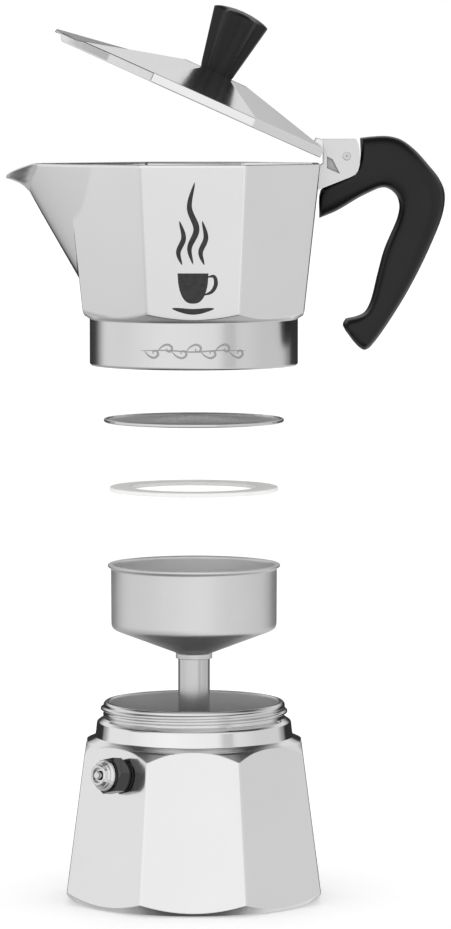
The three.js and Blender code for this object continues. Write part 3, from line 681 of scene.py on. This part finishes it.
HANDLE_OUTER = [
    (58.2, 8.9), (62.6, 9.4), (67.8, 9.5), (72.2, 8.4), (77.0, 5.0), (82.2, -0.7), (85.8, -5.3),
    (87.7, -10.0),
    (87.3, -16.6), (82.6, -29.1), (74.3, -45.6), (65.1, -60.0), (61.8, -64.2),
]
HANDLE_INNER = [
    (43.9, -19.1), (49.7, -16.7), (60.0, -10.8), (66.7, -8.4), (70.6, -10.8), (71.9, -14.6), (71.3, -18.7),
    (66.6, -30.1), (64.5, -37.8), (61.6, -49.0), (59.6, -52.2), (56.8, -53.5), (53.4, -54.2),
]
HANDLE_START = [(58.2, 8.9), (58.4, 1.8), (57.2, -2.8), (54.6, -4.9), (44.9, -8.7), (43.9, -19.1)]
HANDLE_FOOT = [(61.8, -64.2), (59.6, -65.0), (57.2, -63.5), (54.3, -60.0), (52.3, -56.6), (53.4, -54.2)]


HANDLE_HALF = 8.5


def relaxed(flat, rounds=500):
    """Moves the inner points of a flat patch until a P_ss - 2 b P_st + c P_tt = 0, with a = |P_t|^2, b =
    P_s . P_t and c = |P_s|^2, which unfolds it. Its border stays."""
    for _ in range(rounds):
        along, across = (flat[2:, 1:-1] - flat[:-2, 1:-1]) / 2, (flat[1:-1, 2:] - flat[1:-1, :-2]) / 2
        a, c = (across ** 2).sum(-1, keepdims=True), (along ** 2).sum(-1, keepdims=True)
        b = (along * across).sum(-1, keepdims=True)
        twist = (flat[2:, 2:] - flat[:-2, 2:] - flat[2:, :-2] + flat[:-2, :-2]) / 4
        sides = a * (flat[2:, 1:-1] + flat[:-2, 1:-1]) + c * (flat[1:-1, 2:] + flat[1:-1, :-2])
        flat[1:-1, 1:-1] = (sides - 2 * b * twist) / (2 * (a + c))
    return flat


def handle_shape():
    """A flat patch between the handle's outlines, thickened sideways by a half-width times (1 -
    |u|^p)^(1/p) across it, where u runs from -1 to 1 from edge to edge, so that faces are nearly flat and
    edges round."""
    rows, columns, power = 120, 41, 3.0
    w = np.linspace(0, 1, columns)[None, :, None]
    s = np.linspace(0, 1, rows)[:, None, None]
    outer, inner = outline_curve(HANDLE_OUTER, rows), outline_curve(HANDLE_INNER, rows)
    start, foot = outline_curve(HANDLE_START, columns), outline_curve(HANDLE_FOOT, columns)
    ruled = (1 - w) * outer[:, None] + w * inner[:, None]
    lofted = (1 - s) * start[None] + s * foot[None]
    corners = (1 - s) * ((1 - w) * outer[0] + w * inner[0]) + s * ((1 - w) * outer[-1] + w * inner[-1])
    flat = relaxed(ruled + lofted - corners)
    across = -np.cos(np.linspace(0, math.pi, 21))
    spread = np.sign(across) * np.abs(across) ** 0.75
    place = (spread + 1) / 2 * (columns - 1)
    low = np.minimum(place.astype(int), columns - 2)
    share = (place - low)[None, :, None]
    flat = (1 - share) * flat[:, low] + share * flat[:, low + 1]
    thick = (1 - np.abs(spread) ** power) ** (1 / power)
    ends = np.clip(np.minimum(np.arange(rows), np.arange(rows)[::-1]) / 3.0, 0, 1)
    ends = (1 - (1 - ends) ** 2) ** 0.5
    width = HANDLE_HALF * thick[None] * (0.72 + 0.28 * ends)[:, None]
    front = np.stack([flat[..., 0], -width, flat[..., 1] + COLLECTOR_TOP_Z], -1)
    back = np.stack([flat[..., 0], width, flat[..., 1] + COLLECTOR_TOP_Z], -1)
    ring = np.concatenate([front, back[:, -2:0:-1]], 1)
    return capped(ring)


def capped(ring):
    """A tube of rings whose first and last ring are closed by strips between matching columns."""
    rows, columns = ring.shape[:2]
    index = np.arange(rows * columns).reshape(rows, columns)
    low, high = index[:-1], index[1:]
    quads = np.stack([low, np.roll(low, -1, 1), np.roll(high, -1, 1), high], -1).reshape(-1, 4).tolist()
    half = columns // 2
    for row, flip in ((index[0], True), (index[-1], False)):
        mate = np.concatenate([row[:1], row[::-1]])[:columns]
        for k in range(0, half):
            face = [int(row[k]), int(row[k + 1]), int(mate[k + 1]), int(mate[k])]
            face = list(dict.fromkeys(face))
            quads.append(face[::-1] if flip else face)
    return ring.reshape(-1, 3), quads


def plate_between(outer, inner, low, high):
    """A flat ring between two closed outlines in the XZ plane, from y = low to y = high."""
    rows = [(outer, low), (outer, high), (inner, high), (inner, low)]
    grid = np.stack([np.stack([line[:, 0], np.full(len(line), y), line[:, 1]], -1) for line, y in rows])
    return skin(grid, loop=True)


def ray_outline(corners, centre, angle):
    """Polar samples of a closed straight-sided outline about a centre: the nearest crossing of each ray."""
    corners = np.asarray(corners, float) - centre
    ahead = np.roll(corners, -1, 0)
    direction = np.stack([np.cos(angle), np.sin(angle)], -1)
    edge = ahead - corners
    cross = direction[:, None, 0] * edge[None, :, 1] - direction[:, None, 1] * edge[None, :, 0]
    reach = ((corners[None, :, 0] * edge[None, :, 1] - corners[None, :, 1] * edge[None, :, 0])
        / (cross + 1e-12))
    along = ((corners[None, :, 0] * direction[:, None, 1] - corners[None, :, 1] * direction[:, None, 0])
        / (cross + 1e-12))
    hit = np.where((along > -1e-6) & (along < 1 + 1e-6) & (reach > 0), reach, 1e9).min(1)
    return centre + direction * hit[:, None]


CHEEK = [
    (42.4, -9.5), (54.6, -4.7), (56.3, -3.8), (57.3, -2.4), (57.8, -0.4), (57.9, 1.6), (57.8, 4.4),
    (57.4, 6.7),
    (56.6, 8.5), (45.2, 8.5), (45.2, 0.0), (42.4, -1.5),
]
WEDGE = [(46.4, -1.6), (50.9, -3.5), (48.4, 1.5), (46.4, 2.5)]


def cheek_shape(side):
    angle = np.linspace(0, 2 * math.pi, 121)[:-1]
    extra = [np.arctan2(z + 0.6, x - 47.8) for x, z in CHEEK + WEDGE]
    angle = np.unique(np.round(np.concatenate([angle, np.array(extra) % (2 * math.pi)]), 4))
    centre = np.array([47.8, -0.6])
    outer, inner = ray_outline(CHEEK, centre, angle), ray_outline(WEDGE, centre, angle)
    outer[:, 1] += COLLECTOR_TOP_Z
    inner[:, 1] += COLLECTOR_TOP_Z
    low, high = sorted((side * 3.9, side * 7.6))
    floor = [np.stack([inner[:, 0], np.full(len(inner), y), inner[:, 1]],
        -1) for y in sorted((side * 3.9, side * 6.0))]
    return joined(plate_between(outer, inner, low, high), skin(np.stack(floor)))


def rod_shape(radius, centre, low, high, edge):
    """A rod along Y with rounded ends."""
    angle = np.linspace(0, 2 * math.pi, 49)[:-1]
    profile, fillet = stations(angle.shape, (0, low), (radius, low, edge), (radius, high, edge), (0, high))
    grid = turned(angle, profile, fillet)
    turned_grid = np.stack([grid[..., 0] + centre[0], grid[..., 2], grid[..., 1] + centre[2]], -1)
    return skin(turned_grid)


# ---------------------------------------------------------------- lid

def on_lid(points):
    """From the lid's own place, seated about the pot's axis with its ledge at zero height, to where it
    stands open: turned about the hinge pin by the opening angle."""
    x, y, z = points[..., 0] - HINGE[0], points[..., 1], points[..., 2] - (HINGE_RISE - GAP)
    cosine, sine = math.cos(LID_OPEN), math.sin(LID_OPEN)
    return np.stack([HINGE[0] + x * cosine + z * sine, y, HINGE[2] - x * sine + z * cosine], -1)


LID_HALF, LID_SLOPE = 45.5, math.tan(math.radians(14.5))
LID_REAR, LID_SKIRT, LID_BAND, LID_HEIGHT = 44.8, 2.0, 1.2, 10.0
LID_WALL = 1.35
BEAK_REACH = 57.0
SEAT_GAP = 0.6
LEDGE_HALF = 43.2


def beak_edge(swing, outset, reach):
    """Outline of the part over the spout: the least of its side line, its corner line and its straight
    tip."""
    along = SPOUT_END - SPOUT_ROOT
    normal = np.array([-along[1], along[0]]) / np.hypot(*along)
    root = SPOUT_ROOT + outset * normal
    towards = reach - 2.6
    corner = np.array([towards, SPOUT_END[1] + ((SPOUT_END[0] - towards)
        * normal[0] + outset) / normal[1] - 0.6])
    tip = np.array([reach, corner[1] - 4.6])
    side, bend = line_reach(corner, root, swing), line_reach(tip, corner, swing)
    end = reach / np.maximum(np.cos(swing), 0.01)
    return lesser(lesser(side, bend, 90), end, 120)


def lid_shape():
    """Rows spread from the middle out to the edge. The height is the larger of an eight-sided pyramid, flat
    at its top, and the beak's roof plane. The rim turns down into a skirt round the collector's edge, steps
    in to the ledge it rests on, and the underside follows a wall below the top. Rear side and beak's tip
    have no skirt."""
    notch = np.concatenate([[side * a for a in (4.3, 4.45, 10.3, 10.5, 7.0)] for side in (1, -1)])
    skirt_ends = np.concatenate([[side * a for a in (23.0, 23.2, 23.6, 24.0)] for side in (1, -1)])
    fine = np.concatenate([180 + np.linspace(-40, 40, 121), notch, skirt_ends])
    angle = around(fine)
    outline = octagon(angle, 0.02)
    swing = np.abs(math.pi - angle)
    over_spout = np.degrees(swing) < 42
    towards, sideways = np.cos(swing), np.sin(swing)

    def plan(half, reach):
        edge = half * outline
        return np.where(over_spout, np.maximum(edge, beak_edge(swing, half - COLLECTOR_SIDE, reach)), edge)

    off = np.degrees(np.minimum(angle, 2 * math.pi - angle))
    rear = LID_REAR / np.maximum(np.cos(angle), 0.01)
    edge = np.minimum(plan(LID_HALF, BEAK_REACH), np.where(off < 30, rear, 1e6))
    edge = np.where((off > 4.4) & (off < 10.4), 42.1 / np.cos(angle), edge)
    seat = plan(COLLECTOR_SIDE + SEAT_GAP, BEAK_REACH + 4)
    low = -LID_SKIRT * np.clip((edge - seat - 0.4) / 0.3, 0, 1)
    seat = np.minimum(seat, edge - 0.5)
    ledge = np.minimum(plan(LEDGE_HALF, BEAK_REACH - LID_WALL), seat - 0.6)
    roof_normal, roof_offset = plane(((BEAK_REACH, 0.0, LID_BAND), (27.0, 0.0, 5.62), (35.4, 28.9, LID_BAND)))

    def top(radius):
        pyramid = np.minimum(LID_BAND + (LID_HALF - radius / outline) * LID_SLOPE, LID_HEIGHT)
        roof = ((roof_offset - roof_normal[0] * radius * towards - roof_normal[1] * radius * sideways)
            / roof_normal[2])
        roof = np.where(over_spout & (radius > 25), roof, -9)
        return np.maximum(np.maximum(pyramid, roof), 0.6)

    share = np.concatenate([[10.5 / LID_HALF], np.linspace(0.25, 0.985, 26)])
    upper = [(edge * s, top(edge * s)) for s in share]
    lower = [(ledge * s, np.maximum(top(ledge * s) - LID_WALL, 0.0)) for s in share[::-1]]
    profile, fillet = stations(
        angle.shape,
        (0, LID_HEIGHT), *upper, (edge, top(edge), 0.35), (edge, low, 0.45), (seat, low, 0.15),
        (seat, 0.0, 0.1),
        (ledge, 0.0, 0.15), *lower, (0, LID_HEIGHT - LID_WALL),
    )
    return skin(on_lid(turned(angle, profile, fillet)))


def lug_shape():
    """The arm that the hinge pin passes through: an outline in the lid's middle plane, given width."""
    swing = np.linspace(-0.55 * math.pi, 0.4 * math.pi, 15)
    eye = HINGE_RISE - GAP
    outline = [(41.0, 0.3), (51.6, -0.4)]
    outline += [(HINGE[0] + 3.0 * math.cos(a), eye + 3.0 * math.sin(a)) for a in swing]
    outline += [(49.4, 5.0), (41.0, 3.8)]
    line = np.array(outline)
    rows = [np.stack([line[:, 0], np.full(len(line), y), line[:, 1]], -1) for y in (-3.6, 3.6)]
    points, faces = skin(np.stack(rows))
    return on_lid(points), faces


KNOB_Z = LID_HEIGHT + GAP


def knob_shape():
    """Radius = a straight flare from foot to top, less eight flutes, each a parabola across 78% of its
    share of the turn; the flutes run out on the domed top."""
    angle = np.linspace(0, 2 * math.pi, 241)[:-1]
    part = (angle / SIDE + 0.5) % 1 - 0.5
    flute = np.clip(1 - (part / 0.40) ** 2, 0, 1)

    def ring(radius, height, depth, fillet=0.0):
        return (radius - depth * flute, KNOB_Z + height, fillet)

    rise = [ring(6.3 + 4.3 * h / 20.6, h, 1.05 + 0.35 * h / 20.6) for h in np.linspace(0.7, 20.4, 14)]
    profile, fillet = stations(
        angle.shape,
        (0, KNOB_Z + 13.0), (3.4, KNOB_Z + 13.0), (3.4, KNOB_Z + 0.7), (4.9, KNOB_Z + 0.7),
        (4.9, KNOB_Z - 0.27),
        ring(6.1, -0.27, 0.9, 0.05), ring(6.25, 0.1, 1.0), *rise,
        ring(10.6, 20.9, 1.35, 0.2), ring(10.1, 21.25, 1.3, 0.3), ring(8.4, 21.9, 0.55, 0.3),
        ring(6.2, 22.4, 0.1, 0.3),
        (3.0, KNOB_Z + 22.85), (0, KNOB_Z + 23.0),
    )
    return skin(on_lid(turned(angle, profile, fillet)))


# ---------------------------------------------------------------- printed emblem

def on_front(points):
    """Points (sideways, up from the ring) laid on the middle of the front side, a hair proud of it."""
    points = np.asarray(points, float)
    taper = (COLLECTOR_SIDE - COLLECTOR_FOOT) / COLLECTOR_HEIGHT
    depth = -(COLLECTOR_FOOT + taper * points[:, 1]) - 0.04
    return np.stack([points[:, 0], depth, points[:, 1] + COLLECTOR_Z], -1)


def ribbon(points, width, count=40, laid=on_front):
    """A strip of changing width along a curve through the points: the curve moved to each side by half the
    width, which narrows to nothing at both ends as sin(pi s) ** 0.6."""
    line = outline_curve(points, count)
    along = np.gradient(line, axis=0)
    across = np.stack([-along[:, 1], along[:, 0]], -1) / np.linalg.norm(along, axis=1, keepdims=True)
    share = np.sin(np.linspace(0, math.pi, count))[:, None] ** 0.6 * width / 2 + 0.05
    left, right = laid(line + across * share), laid(line - across * share)
    points = np.concatenate([left, right])
    faces = [[k, k + 1, count + k + 1, count + k] for k in range(count - 1)]
    return points, faces


def emblem_shape():
    """A steaming cup on a saucer: filled bowl, ring handle, saucer and three tall wisps."""
    count = 48
    across = np.linspace(-1, 1, count)
    rim = np.stack([across * 5.3, np.full(count, 33.5)], -1)
    bowl = np.stack([across * 5.3, 33.5 - 10.4 * np.sqrt(1 - np.abs(across) ** 2.6)], -1)
    cup = np.concatenate([on_front(rim), on_front(bowl)])
    cup_faces = [[k, k + 1, count + k + 1, count + k] for k in range(count - 1)]
    return loose_join([
        (cup, cup_faces),
        ribbon([(4.8, 32.2), (7.2, 32.4), (7.8, 29.8), (6.4, 27.2), (3.6, 26.0)], 1.3),
        ribbon([(-7.2, 21.4), (0, 20.3), (7.2, 21.4)], 1.9),
        ribbon([(-3.8, 36.4), (-5.0, 40.6), (-3.2, 45.6), (-4.6, 51.4)], 1.7),
        ribbon([(0.0, 36.6), (-1.2, 42.0), (1.2, 48.5), (-1.2, 56.0), (0.6, 64.6)], 2.0),
        ribbon([(3.8, 36.4), (2.6, 40.6), (4.4, 45.6), (3.2, 51.4)], 1.7),
    ])


def scroll_shape():
    """A running scroll etched on the front of the ring: a line along it, and hooked curls above and below
    in turn."""
    def on_ring(points):
        turn = points[:, 0] / RING_RADIUS - math.pi / 2
        reach = RING_RADIUS + 0.03
        return np.stack([reach * np.cos(turn), reach * np.sin(turn), points[:, 1] + COLLECTOR_Z], -1)

    strokes = []
    for k, start in enumerate(np.arange(-17.5, 17.0, 5.0)):
        way = 1 if k % 2 else -1
        curl = [(0, 0), (1.8, 1.7), (3.8, 2.3), (5.2, 1.2), (4.6, -0.1), (3.3, 0.2), (3.5, 1.1)]
        strokes.append(ribbon([(start + x, 6.6 + way * y) for x, y in curl], 0.7, 30, on_ring))
    strokes.append(ribbon([(-19, 6.6), (-9, 6.9), (0, 6.4), (9, 6.9), (19, 6.6)], 0.45, 60, on_ring))
    return loose_join(strokes)


def loose_join(shapes):
    points, faces, start = [], [], 0
    for part_points, part_faces in shapes:
        points.append(part_points)
        faces += [[corner + start for corner in face] for face in part_faces]
        start += len(part_points)
    return np.concatenate(points), faces


# ---------------------------------------------------------------- settings

class CoffeePotLook(bpy.types.PropertyGroup):
    """Finishes of the pot."""
    cast_shade: bpy.props.FloatProperty(
        name="Casting shade", description="Brightness of the polished casting", default=0.80, min=0, max=1)
    cast_roughness: bpy.props.FloatProperty(
        name="Casting roughness", description="Roughness of the polished sides", default=0.16, min=0, max=1)
    grip_roughness: bpy.props.FloatProperty(
        name="Grip roughness", description="Roughness of handle and knob", default=0.30, min=0, max=1)
    grip_colour: bpy.props.FloatVectorProperty(
        name="Grip colour", description="Colour of handle and knob", subtype="COLOR", size=4,
        default=(0.006, 0.0055, 0.0055, 1), min=0, max=1)


class CoffeePotStage(bpy.types.PropertyGroup):
    """Camera and lights."""
    camera_distance: bpy.props.FloatProperty(
        name="Camera distance", description="From the camera to the pot's axis", default=1.65, unit="LENGTH")
    camera_elevation: bpy.props.FloatProperty(
        name="Camera elevation", description="Angle above the horizon", default=math.radians(4.45),
        subtype="ANGLE")
    camera_lens: bpy.props.FloatProperty(
        name="Focal length", description="Lens on a 36 mm tall film", default=182.0,
        subtype="DISTANCE_CAMERA")
    aim: bpy.props.FloatVectorProperty(
        name="Aim", description="Point at the middle of the picture", default=(0.0111, 0, 0.153),
        subtype="XYZ",
        unit="LENGTH")


# ---------------------------------------------------------------- operators

class BoilerOperator(bpy.types.Operator):
    """Boiler with its collar and threaded neck"""
    bl_idname = "coffee_pot.boiler"
    bl_label = "Boiler"

    def execute(self, context):
        item = piece("boiler_shell", boiler_shape(), finish("cast"), "boiler", ["boiler"])
        split_finish(item, finish("mirror"), lambda r, z,
            p: (r > 31) & (z > 46.0) & (r < 39.8 + (55.8 - z) * 0.4)
                     & ((z > 55.9) | on_shoulder(r, z, p)))
        split_finish(item, finish("thread"), lambda r, z, p: (z > 63.4) & (r > 31))
        split_finish(item, finish("raw"), boiler_inside)
        return {"FINISHED"}


class ValveOperator(bpy.types.Operator):
    """Safety valve: body, washer, nut, nose, spring, pin and seal"""
    bl_idname = "coffee_pot.valve"
    bl_label = "Safety valve"

    def execute(self, context):
        # The valve body's near-black finish is a painted dark reflection.
        dress("valve_body", "chrome_painted_dark_reflection", 0.25)
        dress("valve_washer", "fibre", 0.1)
        dress("valve_nut", "brass", 0.25)
        dress("valve_cap", "nose", 0.15)
        dress("valve_spring", "steel")
        dress("valve_seal", "silicone")
        dress("valve_pin", "nose", 0.15)
        return {"FINISHED"}


class FunnelOperator(bpy.types.Operator):
    """Funnel: flanged cup, stem tube and strainer"""
    bl_idname = "coffee_pot.funnel"
    bl_label = "Funnel"

    def execute(self, context):
        piece("funnel_basket", funnel_cup_shape(), finish("spun"), "funnel", ["funnel_cup"])
        piece("funnel_tube", funnel_stem_shape(), finish("steel"), "funnel",
            ["funnel_stem"])
        dress("funnel_strainer", "plate")
        return {"FINISHED"}


class SealsOperator(bpy.types.Operator):
    """Gasket and filter plate"""
    bl_idname = "coffee_pot.seals"
    bl_label = "Gasket and filter plate"

    def execute(self, context):
        piece("gasket_ring", gasket_shape(), finish("silicone"), "gasket", ["gasket"])
        dress("filter_plate", "plate")
        return {"FINISHED"}


class CollectorOperator(bpy.types.Operator):
    """Collector with spout, ring and hinge cheeks"""
    bl_idname = "coffee_pot.collector"
    bl_label = "Collector"

    def execute(self, context):
        shell = piece("collector_shell", collector_shape(), finish("cast"), "collector",
                      ["collector"])
        split_finish(shell, finish("ring"), lambda r, z,
            p: (z < COLLECTOR_Z + RING_HEIGHT - 0.3) & (r > 35.4))
        split_finish(shell, finish("thread"), lambda r, z, p: (z < COLLECTOR_Z + 15.2) & (r <= 35.2))
        for side in (1, -1):
            name = "hinge_cheek_" + ("back" if side > 0 else "front")
            cheek = piece(name, cheek_shape(side), finish("cheek"), "collector")
            # Faces inside the wedge pockets get the darker metal: painted shade in the recess.
            split_finish(cheek, finish("pocket_painted_shade"), lambda r, z,
                p: (np.abs(p[:, 1]) < 7.4) & (np.abs(p[:, 0] - 48.6) < 2.4)
                         & (np.abs(z - COLLECTOR_TOP_Z + 0.5) < 3.1))
            soften(cheek, 0.5)
        dress("coffee_column", "spun", 0.3)
        piece("hinge_rod", rod_shape(1.5, HINGE, -7.8, 7.8, 0.3), finish("steel"), "collector",
              ["hinge_pin"])
        return {"FINISHED"}


def soften(item, width):
    """Rounds the sharp edges of a piece, ahead of its weighted normals."""
    edge = item.modifiers.new("edge", "BEVEL")
    edge.width, edge.segments, edge.limit_method = width * MM, 3, "ANGLE"
    edge.angle_limit = math.radians(40)
    item.modifiers.move(len(item.modifiers) - 1, 0)


class HandleOperator(bpy.types.Operator):
    """Handle and its screw"""
    bl_idname = "coffee_pot.handle"
    bl_label = "Handle"

    def execute(self, context):
        piece("handle_grip", handle_shape(), finish("bakelite"), "collector", ["handle"])
        dress("handle_pin", "steel", 0.2)
        return {"FINISHED"}


class LidOperator(bpy.types.Operator):
    """Lid with beak, hinge lug and knob"""
    bl_idname = "coffee_pot.lid"
    bl_label = "Lid and knob"

    def execute(self, context):
        piece("lid_dome", lid_shape(), finish("cast"), "lid", ["lid"])
        soften(piece("lid_lug", lug_shape(), finish("cast"), "lid"), 0.4)
        piece("knob_grip", knob_shape(), finish("bakelite"), "lid", ["knob"])
        dress("knob_washer", "fibre", 0.1)
        dress("knob_insert", "brass")
        dress("knob_screw", "steel", 0.15)
        return {"FINISHED"}


class EmblemOperator(bpy.types.Operator):
    """Printed steaming cup on the front side, and a scroll etched on the ring"""
    bl_idname = "coffee_pot.emblem"
    bl_label = "Printed emblem"

    def execute(self, context):
        piece("printed_cup", emblem_shape(), finish("print"), "collector")
        piece("etched_scroll", scroll_shape(), finish("etched"), "collector")
        return {"FINISHED"}


class StageOperator(bpy.types.Operator):
    """Floor, soft light and camera"""
    bl_idname = "coffee_pot.stage"
    bl_label = "Stage"

    def execute(self, context):
        build_camera(context)
        build_floor(context)
        build_light(context)
        return {"FINISHED"}


# ---------------------------------------------------------------- stage

def build_camera(context):
    """Looks along +Y from a little above the horizon."""
    stage = context.scene.coffee_pot_stage
    data = bpy.data.cameras.new("camera")
    data.sensor_fit = "VERTICAL"
    data.sensor_height = data.sensor_width = 36.0
    data.lens = stage.camera_lens
    data.clip_end = 100
    camera = bpy.data.objects.new("camera", data)
    context.scene.collection.objects.link(camera)
    tilt = stage.camera_elevation
    back = Vector((0, -math.cos(tilt), math.sin(tilt)))
    camera.location = Vector(stage.aim) + back * stage.camera_distance
    camera.rotation_mode = "QUATERNION"
    camera.rotation_quaternion = (-back).to_track_quat("-Z", "Y")
    context.scene.camera = camera


def build_floor(context):
    """A wide pale floor under the boiler. It glows a little, so that it runs into the white room without a
    line."""
    mesh = bpy.data.meshes.new("floor")
    size = 12.0
    mesh.from_pydata([(-size, -size, 0), (size, -size, 0), (size, size, 0), (-size, size, 0)], [],
        [(0, 1, 2, 3)])
    sheet = Sheet("floor")
    tone = sheet.noise(3, 2)
    colour = sheet.mix(tone, (0.88, 0.88, 0.88, 1), (0.89, 0.89, 0.89, 1))
    mesh.materials.append(sheet.finish(
        Base_Color=colour, Roughness=0.9, Emission_Color=(1, 1, 1, 1), Emission_Strength=0.25))
    floor = bpy.data.objects.new("floor", mesh)
    context.scene.collection.objects.link(floor)
    floor.location.z = -0.0002
    floor.visible_glossy = False


def build_light(context):
    """A white room, where the camera looks straight at it and for diffuse light. Reflections see tents of
    different brightness: brightest in front, greyer to the right, dark along the rear horizon, overhead and
    underneath."""
    sheet = Sheet("studio", "worlds")
    x, y, z = sheet.split(sheet.add("ShaderNodeTexCoord", output="Generated"))
    front = (0 - y).clipped(0.15, 0.9)
    wall = 0.86 - x * 0.09 + front * 0.22
    rear = y.clipped(0.45, 0.72) * (1 - z.size().clipped(0.16, 0.34))
    beak = ((0 - x).clipped(0.74, 0.86) * z.clipped(0.24, 0.34) * (1 - z.clipped(0.52, 0.62))
        * (0 - y).clipped(0.03, 0.08))
    roof = z.clipped(0.50, 0.74) * y.clipped(-0.40, 0.05)
    strip = ((1 - (x - 0.64).size().clipped(0.05, 0.16)) * (0 - y).clipped(0.1, 0.3)
        * (1 - z.size().clipped(0.2, 0.4)))
    under = (0 - z).clipped(0.12, 0.30) * (0.5 - x).clipped(0.2, 0.9)
    pit = (0 - z).clipped(0.78, 0.92)
    level = (wall * (1 - beak * 0.85) * (1 - rear * 0.96) * (1 - roof * 0.90) * (1 - strip * 0.30)
        * (1 - under * 0.42) * (1 - pit * 0.88))
    seen = sheet.add("ShaderNodeBackground", {}, {"Color": (1, 1, 1, 1), "Strength": 1.0})
    tents = sheet.add("ShaderNodeBackground", {}, {"Color": (1, 1, 1, 1), "Strength": level})
    direct = sheet.add("ShaderNodeLightPath", output="Is Camera Ray")
    spread = sheet.add("ShaderNodeLightPath", output="Is Diffuse Ray")
    both = sheet.add("ShaderNodeMixShader", {}, {0: direct + spread, 1: tents, 2: seen})
    sheet.add("ShaderNodeOutputWorld", {}, {"Surface": both})
    context.scene.world = sheet.material
    context.scene.view_settings.view_transform = "Standard"


# ---------------------------------------------------------------- panel

class CoffeePotPanel(bpy.types.Panel):
    """Lists the pot's settings and pieces"""
    bl_idname = "VIEW3D_PT_coffee_pot"
    bl_label = "Coffee Pot"
    bl_space_type = "VIEW_3D"
    bl_region_type = "UI"
    bl_category = "Coffee Pot"

    def draw(self, context):
        scene = context.scene
        for group in (scene.coffee_pot_look, scene.coffee_pot_stage):
            for name in group.__annotations__:
                self.layout.prop(group, name)
        for operator in OPERATORS:
            self.layout.operator(operator.bl_idname)


OPERATORS = (
    StageOperator, BoilerOperator, ValveOperator, FunnelOperator, SealsOperator, CollectorOperator,
    HandleOperator,
    LidOperator, EmblemOperator,
)
CLASSES = (CoffeePotLook, CoffeePotStage, *OPERATORS, CoffeePotPanel)


def register():
    for kind in CLASSES:
        bpy.utils.register_class(kind)
    bpy.types.Scene.coffee_pot_look = bpy.props.PointerProperty(type=CoffeePotLook)
    bpy.types.Scene.coffee_pot_stage = bpy.props.PointerProperty(type=CoffeePotStage)


def unregister():
    del bpy.types.Scene.coffee_pot_stage
    del bpy.types.Scene.coffee_pot_look
    for kind in reversed(CLASSES):
        bpy.utils.unregister_class(kind)


def main():
    register()
    for operator in OPERATORS:
        group, name = operator.bl_idname.split(".")
        getattr(getattr(bpy.ops, group), name)()


if __name__ == "__main__":
    main()
